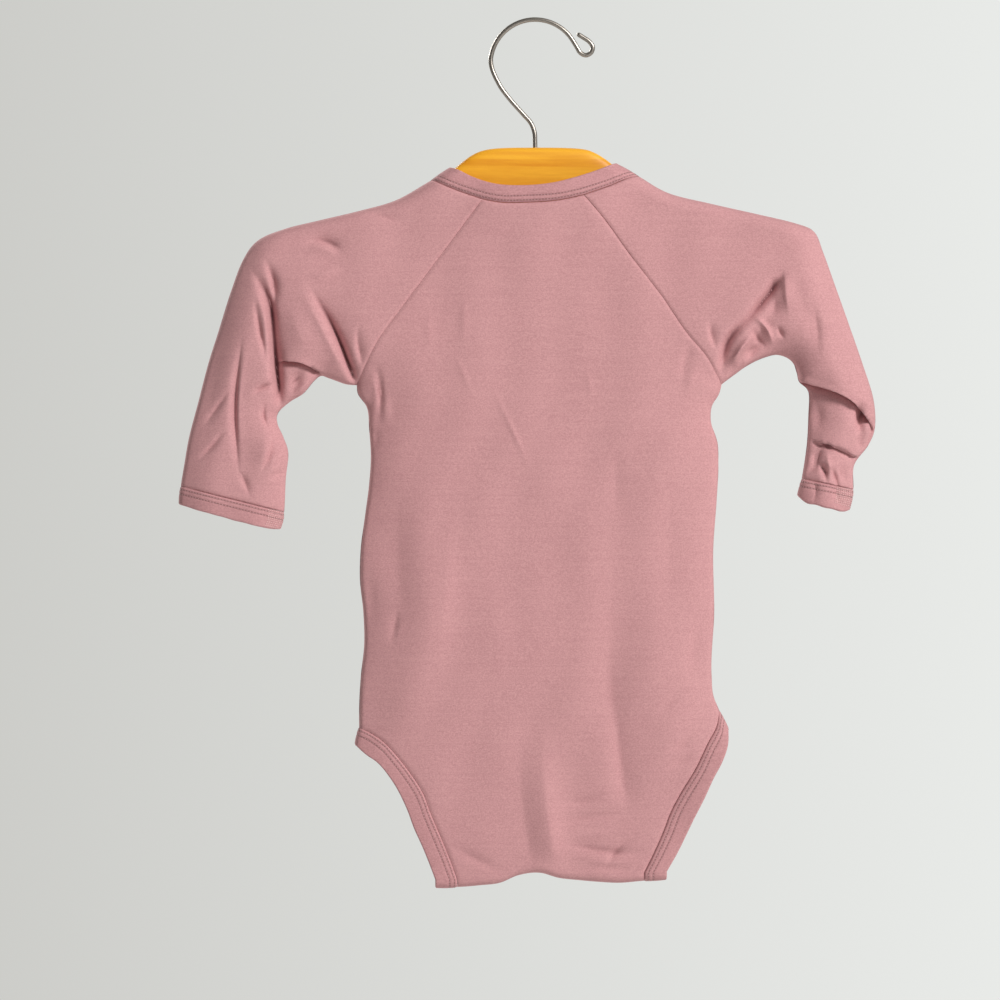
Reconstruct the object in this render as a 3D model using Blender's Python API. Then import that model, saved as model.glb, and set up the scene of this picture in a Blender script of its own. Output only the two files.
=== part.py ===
"""A baby's long-sleeved raglan bodysuit, hanging on a child's wooden hanger.

Frame: metres, +Z up. The origin is the inner top of the hook, where it bears on its peg. The back of
the garment faces -Y and its front +Y. Left and right are as seen from behind the garment: left is -X.

The tables are in millimetres: x to the right of the hook, drop below the origin, so z = -drop. The
garment hangs as a flattened tube: each layer is a surface over (x, drop). From the fold lines that form
the outline it turns in a tight fold and then rises slowly to its full depth. Over the hanger it wraps
round the bar instead.
"""
import bpy
import bmesh
import numpy as np

MM = 0.001

# Cloth: single jersey for the panels and sleeves, folded double for the bindings and cuffs.
WALL = 1.2
BAND_WALL = 2.0
BAND_PROUD = 0.4
SEAM_GAP = 0.3

# How the two layers part inwards from a fold line: a tight fold, then a slow rise over the reach given
# for the body and for the sleeves. Over the bar they are full depth within BAR_ROUND.
FOLD_HEIGHT = 3.0
FOLD_ROUND = 2.5
FOLD_SLACK = 0.15
BODY_RISE = 40.0
SLEEVE_RISE = 22.0
BAR_ROUND = 8.0
BAR_WRAP_END = (150.0, 174.0)

# Crotch: the back panel turns under in a soft fold and laps inside the front panel.
CROTCH_RADIUS = 5.0
TAB_LENGTH = 24.0
FRONT_END_ABOVE_FOLD = 7.0

# Hanger: a wooden bar and a steel hook screwed into it.
WIRE = 2.8
HOOK_RADIUS = 26.7
HOOK_SCREW_DEPTH = 14.0
HOOK_HOLE = WIRE + 2 * SEAM_GAP

# Press snaps along the crotch.
SNAP_COUNT = 3
SNAP_PITCH = 34.0
SNAP_DIAMETER = 9.5
SNAP_THICKNESS = 1.4
SNAP_CLEARANCE = 0.6

# How finely the solids are cut.
TURN_STEPS = 4
CORNER_ROOM = 0.5
FOLD_LINE_STEP = 3.0
FOLD_POINTS = 9
HOLE_SIDES = 16


def table(columns, *rows):
    """A short table: one array for each named column."""
    return dict(zip(columns.split(), np.array(rows, float).T))


# ---------------------------------------------------------------- outline of the hanging garment

# The raglan seams run from the neck seam to the underarm.
BACK_RAGLAN_LEFT = table("x drop", (-31.5, 107.3), (-54, 137.5), (-76, 167), (-95, 193.5), (-107, 218))
BACK_RAGLAN_RIGHT = table("x drop", (29, 104.8), (40, 117.5), (56, 139.5), (76, 165.5), (91, 187.5),
                          (102.5, 201), (112, 217.5))
FRONT_RAGLAN_LEFT = table("x drop", (-46, 121.5), (-66, 150), (-87, 181), (-107, 218))
FRONT_RAGLAN_RIGHT = table("x drop", (45, 120.5), (66, 150), (89, 181), (112, 217.5))

# The neck seam, in three stretches: left sleeve, panel, right sleeve.
BACK_NECK_LEFT = table("x drop", (-31.5, 107.3), (-39, 104.8), (-51, 100.3), (-62.5, 95.2))
BACK_NECK = table("x drop", (-31.5, 107.3), (-23, 109), (-4, 109.3), (15, 107.8), (29, 104.8))
BACK_NECK_RIGHT = table("x drop", (29, 104.8), (46, 98.7), (55.5, 94.6), (62, 92.5))
FRONT_NECK_LEFT = table("x drop", (-46, 121.5), (-55, 113), (-60.5, 103.5), (-62.5, 95.2))
FRONT_NECK = table("x drop", (-46, 121.5), (-31, 129.5), (-15, 133.5), (0, 134.5), (15, 133),
                   (31, 128.5), (45, 120.5))
FRONT_NECK_RIGHT = table("x drop", (45, 120.5), (54, 112), (59.5, 102), (62, 92.5))

# The free edge of the neck binding, from where it crosses the bar on the left to the right.
BACK_NECK_TOP = table("x drop", (-51, 87.5), (-47, 89), (-38, 93.5), (-24, 98), (-7, 99), (10, 97.5),
                      (27.5, 93), (39, 89), (48.5, 85))
FRONT_NECK_TOP = table("x drop", (-51, 87.5), (-50, 95), (-43, 106.5), (-30, 117), (-15, 122.5),
                       (0, 124), (15, 122), (30, 116), (42, 105), (47.5, 94), (48.5, 85))

# The sides of the body, from the underarm to the top corner of the leg opening.
SIDE_LEFT = table("x drop", (-107, 218), (-106.5, 222.5), (-101, 231), (-99.5, 244.5), (-98.5, 260.5),
                  (-99.5, 277), (-102, 296.5), (-104.5, 315.5), (-105, 335), (-103, 354),
                  (-102.5, 373.5), (-104.5, 392.5), (-105.5, 411.5), (-105.5, 423))
SIDE_RIGHT = table("x drop", (112, 217.5), (110.5, 223), (106, 231), (105.5, 239), (109.5, 252.5),
                   (110, 266), (109, 287), (107, 315.5), (107.5, 354), (106, 392.5), (107, 404),
                   (110.5, 413))

# The leg seams and the free edges of their bindings, from the side corner to the crotch.
BACK_LEG_LEFT = table("x drop", (-105.5, 423), (-98, 426.5), (-90, 432), (-82.5, 440), (-75, 449.5),
                      (-67, 462), (-62, 475), (-56.5, 488), (-51, 501.5), (-46.5, 514))
BACK_LEG_LEFT_EDGE = table("x drop", (-108, 433.5), (-101, 439.5), (-95, 443.5), (-86.5, 453.5),
                           (-76.5, 472.5), (-72.5, 483.5), (-68, 493.5), (-63.5, 504.5), (-59.8, 514.3))
BACK_LEG_RIGHT = table("x drop", (110.5, 413), (109, 421.5), (103, 433), (96, 447.5), (87, 462.5),
                       (81.5, 473), (76.5, 486), (71, 498.5), (65.2, 510.4))
BACK_LEG_RIGHT_EDGE = table("x drop", (116, 424), (115.5, 433), (112, 443.5), (107, 453), (101.5, 465),
                            (94.5, 479), (90.5, 487.5), (85.5, 498), (79, 509.5))
FRONT_LEG_LEFT = table("x drop", (-105.5, 423), (-92, 428), (-77, 440), (-66, 454), (-57, 471),
                       (-50.5, 490), (-46, 509))
FRONT_LEG_LEFT_EDGE = table("x drop", (-108, 433.5), (-98, 438), (-86, 448.5), (-76, 463), (-68, 479),
                            (-62, 496), (-58, 511))
FRONT_LEG_RIGHT = table("x drop", (110.5, 413), (103, 421), (93, 432), (82.5, 446), (74.5, 462),
                        (68.5, 480), (65, 497), (63, 509))
FRONT_LEG_RIGHT_EDGE = table("x drop", (116, 424), (109, 435), (98.5, 449), (90, 463), (84.5, 478),
                             (80.5, 492), (77.5, 504), (75.5, 511))

# The fold at the bottom, where the back panel turns under to the front.
CROTCH_FOLD = table("x drop", (-58, 519.3), (-45, 519), (-33, 518), (-21, 516.5), (-10, 512), (3, 510.5),
                    (14, 513.5), (27, 515), (39, 516), (51, 516.5), (63, 515.5), (77, 514.5))

# The sleeves, a row for each section from the neck to the cuff seam and the cuff's free edge: where it
# folds over at the top or outside, and where it folds at the underside.
SLEEVE_LEFT = table("top_x top_drop under_x under_drop",
                    (-62.5, 95.2, -107, 218), (-83.5, 107, -113, 217.5), (-105, 113.3, -119, 215.5),
                    (-129, 119, -124, 213.7), (-150, 124.2, -128.5, 212.5), (-166, 131, -133, 216),
                    (-175, 142.5, -139, 223), (-182.5, 162, -147, 228), (-190, 186, -154, 234.5),
                    (-196, 205, -154.5, 241), (-202, 228, -151, 249), (-207.5, 249, -148, 259),
                    (-210.5, 266, -149.5, 274), (-212.5, 278.5, -150.5, 294),
                    (-213.5, 289.5, -153, 304.5))
SLEEVE_RIGHT = table("top_x top_drop under_x under_drop",
                     (62, 92.5, 112, 217.5), (80, 102.7, 115.5, 214.8), (105, 109, 120, 211.5),
                     (133, 115.3, 125.5, 207.5), (156, 120.8, 132, 203.8), (167.5, 126, 139, 201),
                     (173, 138.5, 145, 199.8), (180, 158, 151, 201.5), (188, 180.5, 155, 205),
                     (196.5, 205, 157, 210.5), (203, 226, 158.5, 216), (204, 243, 164, 222),
                     (200, 254, 164, 236), (191.5, 266, 163, 254), (191, 280.5, 160, 274),
                     (188.5, 293, 157.5, 284.5))

# ---------------------------------------------------------------- depth of the hanging garment

# Half of the depth of the body, down its middle, of its back layer and of its front layer.
BODY_DEPTH = table("drop back front", (80, 9.2, 9), (120, 10.4, 10.2), (165, 12, 12), (220, 12.5, 12.8),
                   (300, 12, 13.3), (400, 11, 12.8), (460, 8, 10), (490, 6, 7.6), (505, 5, 7.4),
                   (530, 5, 7.4))
SLEEVE_DEPTH = table("drop both", (90, 9), (125, 9.5), (165, 12.5), (215, 12.8), (245, 11), (290, 10),
                     (310, 10))

# Distance from the middle over which the body's depth gives way to the sleeves'.
SLEEVE_START = (85.0, 130.0)

# The neck opening stands away from the bar in the middle.
NECK_SLACK = 5.5
NECK_SLACK_CENTRE = (0.0, 95.0)
NECK_SLACK_REACH = (50.0, 42.0)

# The largest folds: a trough (height below 0) or a ridge through three places, and its half width.
BACK_FOLDS = table("x0 d0 x1 d1 x2 d2 width height",
                   (-171, 150, -157, 176, -153, 230, 7.0, -6.0),
                   (-167, 162, -165, 190, -166, 218, 6.5, 2.0),
                   (-140, 156, -124, 172, -108, 212, 6.5, -4.5),
                   (-152, 204, -136, 206, -120, 211, 5.0, -2.5),
                   (-174, 190, -180, 216, -177, 275, 6.0, -2.2),
                   (109, 214, 116, 192, 144, 152, 6.5, -5.0),
                   (115, 214, 124, 200, 138, 184, 4.5, -2.5),
                   (150, 145, 151, 156, 152, 172, 5.5, -2.5),
                   (164, 236, 172, 246, 175, 262, 5.0, -2.0),
                   (-94, 205, -92, 230, -97, 262, 5.5, -2.8),
                   (-60, 300, -62, 350, -68, 400, 16.0, 2.0),
                   (48, 280, 46, 400, 55, 485, 12.0, -2.6),
                   (6, 396, 4, 470, 10, 508, 14.0, 2.4),
                   (-82, 350, -84, 362, -86, 375, 7.0, -2.0))
FRONT_FOLDS = table("x0 d0 x1 d1 x2 d2 width height",
                    (-168, 152, -158, 180, -152, 226, 7.0, -5.0),
                    (-136, 160, -122, 176, -110, 210, 6.0, -3.5),
                    (-177, 200, -181, 230, -179, 270, 6.0, -2.0),
                    (112, 212, 120, 186, 146, 156, 6.5, -4.5),
                    (118, 212, 128, 200, 140, 188, 4.5, -2.5),
                    (166, 240, 174, 250, 176, 264, 5.0, -2.0),
                    (-40, 280, -36, 370, -30, 470, 14.0, -2.4),
                    (30, 300, 34, 380, 30, 460, 15.0, 2.2),
                    (72, 250, 76, 320, 70, 390, 12.0, -1.0),
                    (-88, 232, -80, 262, -84, 300, 8.0, -1.0))

# The upper part of the right sleeve hangs over the lower part in a lap.
LAP_LINE = table("x drop", (156, 215), (166, 220), (176, 223.5), (186.5, 228.5), (197.5, 233),
                 (206, 236.5))
LAP_HEIGHT = 4.0
LAP_REACH = 24.0
LAP_STEP = 2.5
LAP_START = (148.0, 158.0)

# ---------------------------------------------------------------- hanger

# The bar, a row for each section: its top and bottom edge and its thickness.
BAR = table("x top bottom thickness",
            (-163, 136.5, 140.5, 5), (-162, 134.5, 143.5, 8.5), (-159.5, 132, 146, 10.5),
            (-155, 129.2, 146.5, 12), (-146, 126, 145, 12), (-138, 123.8, 143, 12),
            (-119, 118.9, 138.5, 12), (-98, 114.1, 134, 12), (-83.5, 109.6, 131, 12),
            (-72.5, 104.9, 128.5, 12), (-65, 100.3, 126.5, 12), (-60.5, 96.8, 125.5, 12),
            (-55, 92.8, 124, 12), (-51, 90.3, 123, 12), (-48, 88, 122, 12), (-43, 83.5, 120.5, 12),
            (-36.5, 79, 118.5, 12), (-29.5, 76.6, 117, 12), (-20, 75.7, 116, 12), (-10, 75.5, 115.5, 12),
            (0, 75.5, 115.3, 12), (10, 75.5, 115.5, 12), (20, 75.7, 116, 12), (29.5, 76.3, 117, 12),
            (35, 78, 118, 12), (40.5, 81.2, 119, 12), (46, 85.2, 120, 12), (48.5, 87.5, 120.5, 12),
            (52, 90.3, 121.5, 12), (57, 93.2, 122.5, 12), (62, 96, 124, 12), (67, 99.6, 125, 12),
            (78, 104.7, 127.5, 12), (95.5, 109.4, 130.5, 12), (115, 114, 134, 12), (138.5, 119, 139, 12),
            (150, 121.8, 141, 12), (158, 124.4, 142, 12), (163, 127.2, 142.5, 10.5),
            (166, 130, 141, 8.5), (167.5, 133, 138, 5))
BAR_SIDES = 16
BAR_SQUARENESS = 0.55

# The hook's centre line: the stem and bend below the round part, and the eye rolled at its end.
HOOK_BEND = table("x drop", (0, 89.5), (0, 80), (0, 72), (-0.3, 66.5), (-2.3, 61), (-7, 55.5), (-15, 46.5),
                  (-21.5, 37.5))
HOOK_EYE = table("x drop", (25.3, 15.5), (27.3, 18.6), (30.5, 20), (33.6, 18.5), (34.6, 15), (32.5, 11.8),
                 (29, 9.4), (25.2, 7))
HOOK_ARC_ENDS = (172.0, 32.0)
HOOK_ARC_POINTS = 19
HOOK_POINTS = 46

MATERIALS = {
    "jersey": ((0.56, 0.29, 0.30), 0.85, 0.0),
    "binding": ((0.54, 0.27, 0.28), 0.85, 0.0),
    "wood": ((0.80, 0.37, 0.05), 0.4, 0.0),
    "steel": ((0.55, 0.53, 0.50), 0.3, 1.0),
    "snap": ((0.60, 0.36, 0.36), 0.35, 0.0),
}


# ---------------------------------------------------------------- curves

def points_of(rows):
    """The x and drop columns of a table as an array of points."""
    return np.column_stack([rows["x"], rows["drop"]])


def spline(knots, values, at):
    """Cubic through values at the knots, whose slopes come from each value's neighbours."""
    slopes = np.gradient(values, knots, axis=0)
    at = np.asarray(at, float)
    i = np.clip(np.searchsorted(knots, at, side="right") - 1, 0, len(knots) - 2)
    span = knots[i + 1] - knots[i]
    q = (at - knots[i]) / span
    if values.ndim == 2:
        q = q[..., None]
        span = span[..., None]
    rise = q * q * (3 - 2 * q)
    return (values[i] * (1 - rise) + values[i + 1] * rise
            + slopes[i] * span * q * (1 - q) ** 2 - slopes[i + 1] * span * q * q * (1 - q))


def length_knots(points):
    """How far along the polyline each point is, from 0 to 1."""
    steps = np.hypot(*np.diff(points, axis=0).T)
    return np.concatenate([[0], np.cumsum(steps)]) / steps.sum()


def along(rows, fractions):
    """Points at these fractions of the length of the smooth curve through a table's rows."""
    points = points_of(rows)
    return spline(length_knots(points), points, fractions)


def length(points):
    """Length of a polyline."""
    return np.hypot(*np.diff(points, axis=0).T).sum()


def dense(rows):
    """The smooth curve through a table's rows, as a close polyline."""
    steps = int(length(points_of(rows)) / FOLD_LINE_STEP) + 2
    return along(rows, np.linspace(0, 1, steps))


def smoothstep(value, low, high):
    """0 below low, 1 above high and a smooth rise between them."""
    q = np.clip((value - low) / (high - low), 0, 1)
    return q * q * (3 - 2 * q)


def turn_fractions(span, flat_steps, corner=None):
    """Places from 0 to 1 across a span, close together within BAR_ROUND of both ends.

    In the turns they lie where a quarter circle of equal angles puts them. A corner, where given, is
    the fraction that one of the flat steps falls on. Across a narrow span it moves in, so that the
    steps after it keep at least CORNER_ROOM of an even share.
    """
    angles = np.linspace(0, np.pi / 2, TURN_STEPS + 1)
    turn = BAR_ROUND / span * (1 - np.cos(angles))
    if corner is None:
        flat = np.linspace(turn[-1], 1 - turn[-1], flat_steps + 1)
    else:
        first = max(1, round(flat_steps * corner))
        low, high = turn[-1], 1 - turn[-1]
        after = (high - low) * (flat_steps - first) / flat_steps
        corner = min(corner, high - CORNER_ROOM * after)
        flat = np.concatenate([np.linspace(low, corner, first + 1),
                               np.linspace(corner, high, flat_steps - first + 1)[1:]])
    return np.concatenate([turn[:-1], flat, (1 - turn[:-1])[::-1]])


def start_fractions(span, flat_steps):
    """Places from 0 to 1 along a span, close together within BAR_ROUND of its start only."""
    angles = np.linspace(0, np.pi / 2, TURN_STEPS + 1)
    turn = BAR_ROUND / span * (1 - np.cos(angles))
    return np.concatenate([turn[:-1], np.linspace(turn[-1], 1, flat_steps + 1)])


# ---------------------------------------------------------------- the cloth's surface

def sleeve_line(sleeve, edge):
    """The top or the underside fold of a sleeve as a table of x and drop."""
    return {"x": sleeve[edge + "_x"], "drop": sleeve[edge + "_drop"]}


def joined(*lines):
    """Polylines put end to end."""
    return np.concatenate(lines)


def first_point(rows):
    """The first row of a table as a polyline of one point."""
    return points_of(rows)[:1]


def side_fold(sleeve, side, binding_edge):
    """Outline from the cuff along the underside of the sleeve and down the side to the leg corner."""
    return joined(dense(sleeve_line(sleeve, "under"))[:0:-1], dense(side), first_point(binding_edge))


TOP_FOLDS = (
    joined(points_of(BACK_NECK_TOP)[:1], dense(sleeve_line(SLEEVE_LEFT, "top"))),
    joined(points_of(BACK_NECK_TOP)[-1:], dense(sleeve_line(SLEEVE_RIGHT, "top"))),
)
SIDE_FOLDS = (
    side_fold(SLEEVE_LEFT, SIDE_LEFT, BACK_LEG_LEFT_EDGE),
    side_fold(SLEEVE_RIGHT, SIDE_RIGHT, BACK_LEG_RIGHT_EDGE),
)


def nearest(line, x, drop):
    """Distance from each point to a polyline, and how far along it the nearest place is, 0 to 1."""
    best = np.full(x.shape, np.inf)
    place = np.zeros(x.shape)
    knots = length_knots(line)
    for start, end, low, high in zip(line, line[1:], knots, knots[1:]):
        run = end - start
        from_x, from_drop = x - start[0], drop - start[1]
        q = np.clip((from_x * run[0] + from_drop * run[1]) / (run @ run), 0, 1)
        distance = np.hypot(from_x - q * run[0], from_drop - q * run[1])
        closer = distance < best
        best = np.where(closer, distance, best)
        place = np.where(closer, low + q * (high - low), place)
    return best, place


def from_folds(lines, x, drop):
    """Distance to the nearest of some fold lines; 0 within FOLD_SLACK of them."""
    distance = np.min([nearest(line, x, drop)[0] for line in lines], axis=0)
    return np.maximum(distance - FOLD_SLACK, 0)


def quarter_ellipse(distance, reach):
    """0 at no distance, rising steeply and then levelling out to 1 at the reach."""
    short = 1 - np.clip(distance / reach, 0, 1)
    return np.sqrt(1 - short ** 2)


def slow_rise(distance, reach):
    """0 at no distance, rising as a parabola that levels out to 1 at the reach."""
    return 1 - (1 - np.clip(distance / reach, 0, 1)) ** 2


def half_depth(x, drop, side):
    """Full depth of a layer: the body's and the sleeves' tables, blended by distance from the middle."""
    body = spline(BODY_DEPTH["drop"], BODY_DEPTH[side], drop)
    sleeve_drops = SLEEVE_DEPTH["drop"]
    sleeve = spline(sleeve_drops, SLEEVE_DEPTH["both"], np.clip(drop, sleeve_drops[0], sleeve_drops[-1]))
    share = smoothstep(np.abs(x), *SLEEVE_START)
    off_x = (x - NECK_SLACK_CENTRE[0]) / NECK_SLACK_REACH[0]
    off_drop = (drop - NECK_SLACK_CENTRE[1]) / NECK_SLACK_REACH[1]
    slack = NECK_SLACK * np.exp(-off_x ** 2 - off_drop ** 2)
    return body * (1 - share) + sleeve * share + slack


def fold_relief(x, drop, folds):
    """Sum of the folds: each a bell across its curve, fading out towards both of its ends."""
    total = np.zeros(x.shape)
    for row in zip(*folds.values()):
        fold = dict(zip(folds, row))
        line = np.array([(fold["x0"], fold["d0"]), (fold["x1"], fold["d1"]), (fold["x2"], fold["d2"])])
        distance, place = nearest(spline(length_knots(line), line, np.linspace(0, 1, FOLD_POINTS)), x, drop)
        fade = 1 - (2 * place - 1) ** 4
        total += fold["height"] * fade * np.exp(-(distance / fold["width"]) ** 2)
    return total


def lap_relief(x, drop):
    """The lap of the right sleeve: proud above its line, dropping within LAP_STEP below it."""
    line = points_of(LAP_LINE)
    distance, _ = nearest(line, x, drop)
    below = drop > np.interp(x, line[:, 0], line[:, 1])
    within = smoothstep(x, *LAP_START)
    above = np.exp(-(distance / LAP_REACH) ** 2)
    return LAP_HEIGHT * within * np.where(below, 1 - smoothstep(distance, 0, LAP_STEP), above)


def lay(x, drop, side):
    """Points of the outer face of a layer, in mm: x, y and z.

    Its height is a tight fold at the outline, and the rest of the depth times how far the layer has
    risen from the folds at the top and from those at the sides. The relief fades out at the outline.
    """
    if side == "back":
        relief = fold_relief(x, drop, BACK_FOLDS) + lap_relief(x, drop)
        facing = -1
    else:
        relief = fold_relief(x, drop, FRONT_FOLDS)
        facing = 1
    from_top = from_folds(TOP_FOLDS, x, drop)
    from_side = from_folds(SIDE_FOLDS, x, drop)
    on_sleeve = smoothstep(np.abs(x), *SLEEVE_START)
    reach = BODY_RISE + (SLEEVE_RISE - BODY_RISE) * on_sleeve
    past_bar = smoothstep(np.abs(x), *BAR_WRAP_END)
    top_rise = (quarter_ellipse(from_top, BAR_ROUND) * (1 - past_bar)
                + slow_rise(from_top, reach) * past_bar)
    outline = np.minimum(from_top, from_side)
    depth = half_depth(x, drop, side) - FOLD_HEIGHT
    height = (FOLD_HEIGHT * quarter_ellipse(outline, FOLD_ROUND)
              + depth * top_rise * slow_rise(from_side, reach)
              + relief * quarter_ellipse(outline, BAR_ROUND))
    return np.stack([x, facing * height, -drop], axis=-1)


def lay_round_crotch(x, run):
    """Points of the back layer, where run goes on down the cloth past the fold and up the front.

    Above the fold run is the drop. Round it the cloth follows a half circle of CROTCH_RADIUS in y and
    drop, and then rises straight.
    """
    turn_drop = spline(CROTCH_FOLD["x"], CROTCH_FOLD["drop"], x) - CROTCH_RADIUS
    over = run - turn_drop
    points = lay(x, np.minimum(run, turn_drop), "back")
    angle = np.clip(over / CROTCH_RADIUS, 0, np.pi)
    past = np.maximum(over - np.pi * CROTCH_RADIUS, 0)
    round_y = -CROTCH_RADIUS * np.cos(angle)
    round_z = -(turn_drop + CROTCH_RADIUS * np.sin(angle) - past)
    turned = over > 0
    points[..., 1] = np.where(turned, round_y, points[..., 1])
    points[..., 2] = np.where(turned, round_z, points[..., 2])
    return points


# ---------------------------------------------------------------- solids

def grid_normals(grid, ring, reference, facing):
    """Unit normals of a grid of points; in the reference column their y has the sign of facing."""
    down = np.gradient(grid, axis=0)
    if ring:
        across = np.roll(grid, -1, axis=1) - np.roll(grid, 1, axis=1)
    else:
        across = np.gradient(grid, axis=1)
    normals = np.cross(across, down)
    if normals[:, reference, 1].mean() * facing < 0:
        normals = -normals
    return normals / np.linalg.norm(normals, axis=-1, keepdims=True)


def quads(numbers, flip):
    """Faces between neighbouring rows and columns of a grid of vertex numbers."""
    corners = (numbers[:-1, :-1], numbers[:-1, 1:], numbers[1:, 1:], numbers[1:, :-1])
    faces = np.stack([corner.ravel() for corner in corners], axis=1)
    return faces[:, ::-1] if flip else faces


def shell(name, material, grid, wall=WALL, proud=0.0, ring=False, reference=0, facing=-1, flat_edges=()):
    """A cloth solid: the grid moved out by proud, a second face one wall inside it, and the rims.

    flat_edges names the columns that lie on a fold line, whose normals have no y.
    """
    normals = grid_normals(grid, ring, reference, facing)
    for rows, column in flat_edges:
        normals[rows, column, 1] = 0
        normals[rows, column] /= np.linalg.norm(normals[rows, column], axis=-1, keepdims=True)
    outer = grid + normals * proud
    inner = outer - normals * wall
    rows, columns = grid.shape[:2]
    count = rows * columns
    numbers = np.arange(count).reshape(rows, columns)
    if ring:
        numbers = np.concatenate([numbers, numbers[:, :1]], axis=1)
    across = outer[rows // 2, 1] - outer[rows // 2, 0]
    down = outer[rows // 2 + 1 if rows > 2 else 1, 0] - outer[rows // 2 if rows > 2 else 0, 0]
    flip = np.cross(across, down) @ normals[rows // 2, 0] < 0
    faces = [quads(numbers, flip), quads(numbers + count, not flip)]
    faces.append(quads(np.stack([numbers[0] + count, numbers[0]]), flip))
    faces.append(quads(np.stack([numbers[-1], numbers[-1] + count]), flip))
    if not ring:
        faces.append(quads(np.stack([numbers[:, 0] + count, numbers[:, 0]], axis=1), flip))
        faces.append(quads(np.stack([numbers[:, -1], numbers[:, -1] + count], axis=1), flip))
    vertices = np.concatenate([outer.reshape(-1, 3), inner.reshape(-1, 3)]) * MM
    mesh = bpy.data.meshes.new(name)
    mesh.from_pydata(vertices.tolist(), [], np.concatenate(faces).tolist())
    mesh.shade_smooth()
    return add_object(name, mesh, material)


def add_object(name, data, material):
    """Link a new object for a mesh or a curve into the garment's collection, with its own material."""
    base_colour, roughness, metallic = MATERIALS[material]
    finish = bpy.data.materials.new(name)
    finish.use_nodes = True
    shader = finish.node_tree.nodes["Principled BSDF"]
    shader.inputs["Base Color"].default_value = (*base_colour, 1)
    shader.inputs["Roughness"].default_value = roughness
    shader.inputs["Metallic"].default_value = metallic
    data.materials.append(finish)
    thing = bpy.data.objects.new(name, data)
    COLLECTION.objects.link(thing)
    return thing


def inset(line, by):
    """A polyline moved sideways by a distance, to the right of its direction as drawn with drop down."""
    run = np.gradient(line, axis=0)
    run /= np.linalg.norm(run, axis=1, keepdims=True)
    return line + by * np.column_stack([-run[:, 1], run[:, 0]])


# ---------------------------------------------------------------- panels

SLEEVE_STEPS = 8
SIDE_ROWS = 11
LEG_STEPS = 7
CROTCH_ROWS = 5
TAB_ROWS = 2
PANEL_STEPS = 14


def armhole(sleeve, raglan, neck):
    """Points along a sleeve's seam with the body, from the underarm to where the neck crosses the bar.

    Also the fractions of its length that they lie at, and which point is the corner between the
    raglan seam and the neck seam.
    """
    raglan_length, neck_length = length(points_of(raglan)), length(points_of(neck))
    corner = raglan_length / (raglan_length + neck_length)
    width = np.hypot(sleeve["top_x"][0] - sleeve["under_x"][0],
                     sleeve["top_drop"][0] - sleeve["under_drop"][0])
    share = turn_fractions(width, SLEEVE_STEPS, corner)
    on_raglan = along(raglan, 1 - np.clip(share / corner, 0, 1))
    on_neck = along(neck, np.clip((share - corner) / (1 - corner), 0, 1))
    seam = np.where((share <= corner)[:, None], on_raglan, on_neck)
    return seam, corner, int(np.argmin(np.abs(share - corner)))


def leg_seam(rows):
    """Points along a leg seam or the edge of its binding, close together at the side corner."""
    return along(rows, start_fractions(length(points_of(rows)), LEG_STEPS))


def panel_side(seam, corner_point, side, leg, inward):
    """One edge of a panel, from the neck seam to the leg seam's lower end, a point for each row."""
    raglan_line = inset(seam[corner_point::-1], inward * SEAM_GAP)
    side_line = along(side, np.linspace(0, 1, SIDE_ROWS + 1))
    return joined(raglan_line, side_line[1:], leg_seam(leg)[1:])


def neck_row(neck):
    """Points along a panel's stretch of the neck seam."""
    return along(neck, turn_fractions(length(points_of(neck)), PANEL_STEPS))


def panel(left_armhole, right_armhole, sides, legs, neck):
    """A panel's grid of x and drop: rows from its left edge to its right one, from the neck down.

    The first row follows the neck seam, and the rows below it straighten towards the underarm.
    Also the row that the sides start at.
    """
    underarm = left_armhole[2]
    left = panel_side(left_armhole[0], underarm, sides[0], legs[0], -1)
    right = panel_side(right_armhole[0], underarm, sides[1], legs[1], 1)
    widths = np.hypot(*(right - left).T)
    share = np.array([turn_fractions(width, PANEL_STEPS) for width in widths])[..., None]
    grid = left[:, None] * (1 - share) + right[:, None] * share
    top = neck_row(neck)
    top += (left[0] - top[0]) * (1 - share[0]) + (right[0] - top[-1]) * share[0]
    depth_below = length_knots(left[:underarm + 1])
    grid[:underarm + 1] += ((1 - depth_below) ** 2)[:, None, None] * (top - grid[0])
    return grid, underarm


def back_panel():
    """The back, from the neck seam round the crotch fold to the end of the tab."""
    flat, underarm = panel(armhole(SLEEVE_LEFT, BACK_RAGLAN_LEFT, BACK_NECK_LEFT),
                           armhole(SLEEVE_RIGHT, BACK_RAGLAN_RIGHT, BACK_NECK_RIGHT),
                           (SIDE_LEFT, SIDE_RIGHT), (BACK_LEG_LEFT, BACK_LEG_RIGHT), BACK_NECK)
    x, run = flat[..., 0], flat[..., 1]
    fold_drop = spline(CROTCH_FOLD["x"], CROTCH_FOLD["drop"], x[-1])
    half_turn = np.pi * CROTCH_RADIUS
    ends = np.linspace(0, half_turn, CROTCH_ROWS + 1)[1:]
    ends = np.concatenate([ends, half_turn + np.linspace(0, TAB_LENGTH, TAB_ROWS + 1)[1:]])
    # The leg rows end at the start of the turn, and the rows below them go round it.
    corner = underarm + SIDE_ROWS
    low_end = fold_drop - CROTCH_RADIUS
    stretch = np.linspace(0, 1, len(run) - corner)[:, None] ** 2
    run[corner:] += stretch * (low_end - run[-1])
    x = np.concatenate([x, np.repeat(x[-1:], len(ends), axis=0)])
    run = np.concatenate([run, low_end + ends[:, None]])
    grid = lay_round_crotch(x, run)
    apart = smoothstep(run, fold_drop.min() - CROTCH_RADIUS, fold_drop.min() - 4 * CROTCH_RADIUS)
    grid[..., 1] -= SEAM_GAP / 2 * apart
    folded = slice(underarm, corner + 1)
    return shell("back_panel", "jersey", grid, reference=PANEL_STEPS // 2, facing=-1,
                 flat_edges=((folded, 0), (folded, -1)))


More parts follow.
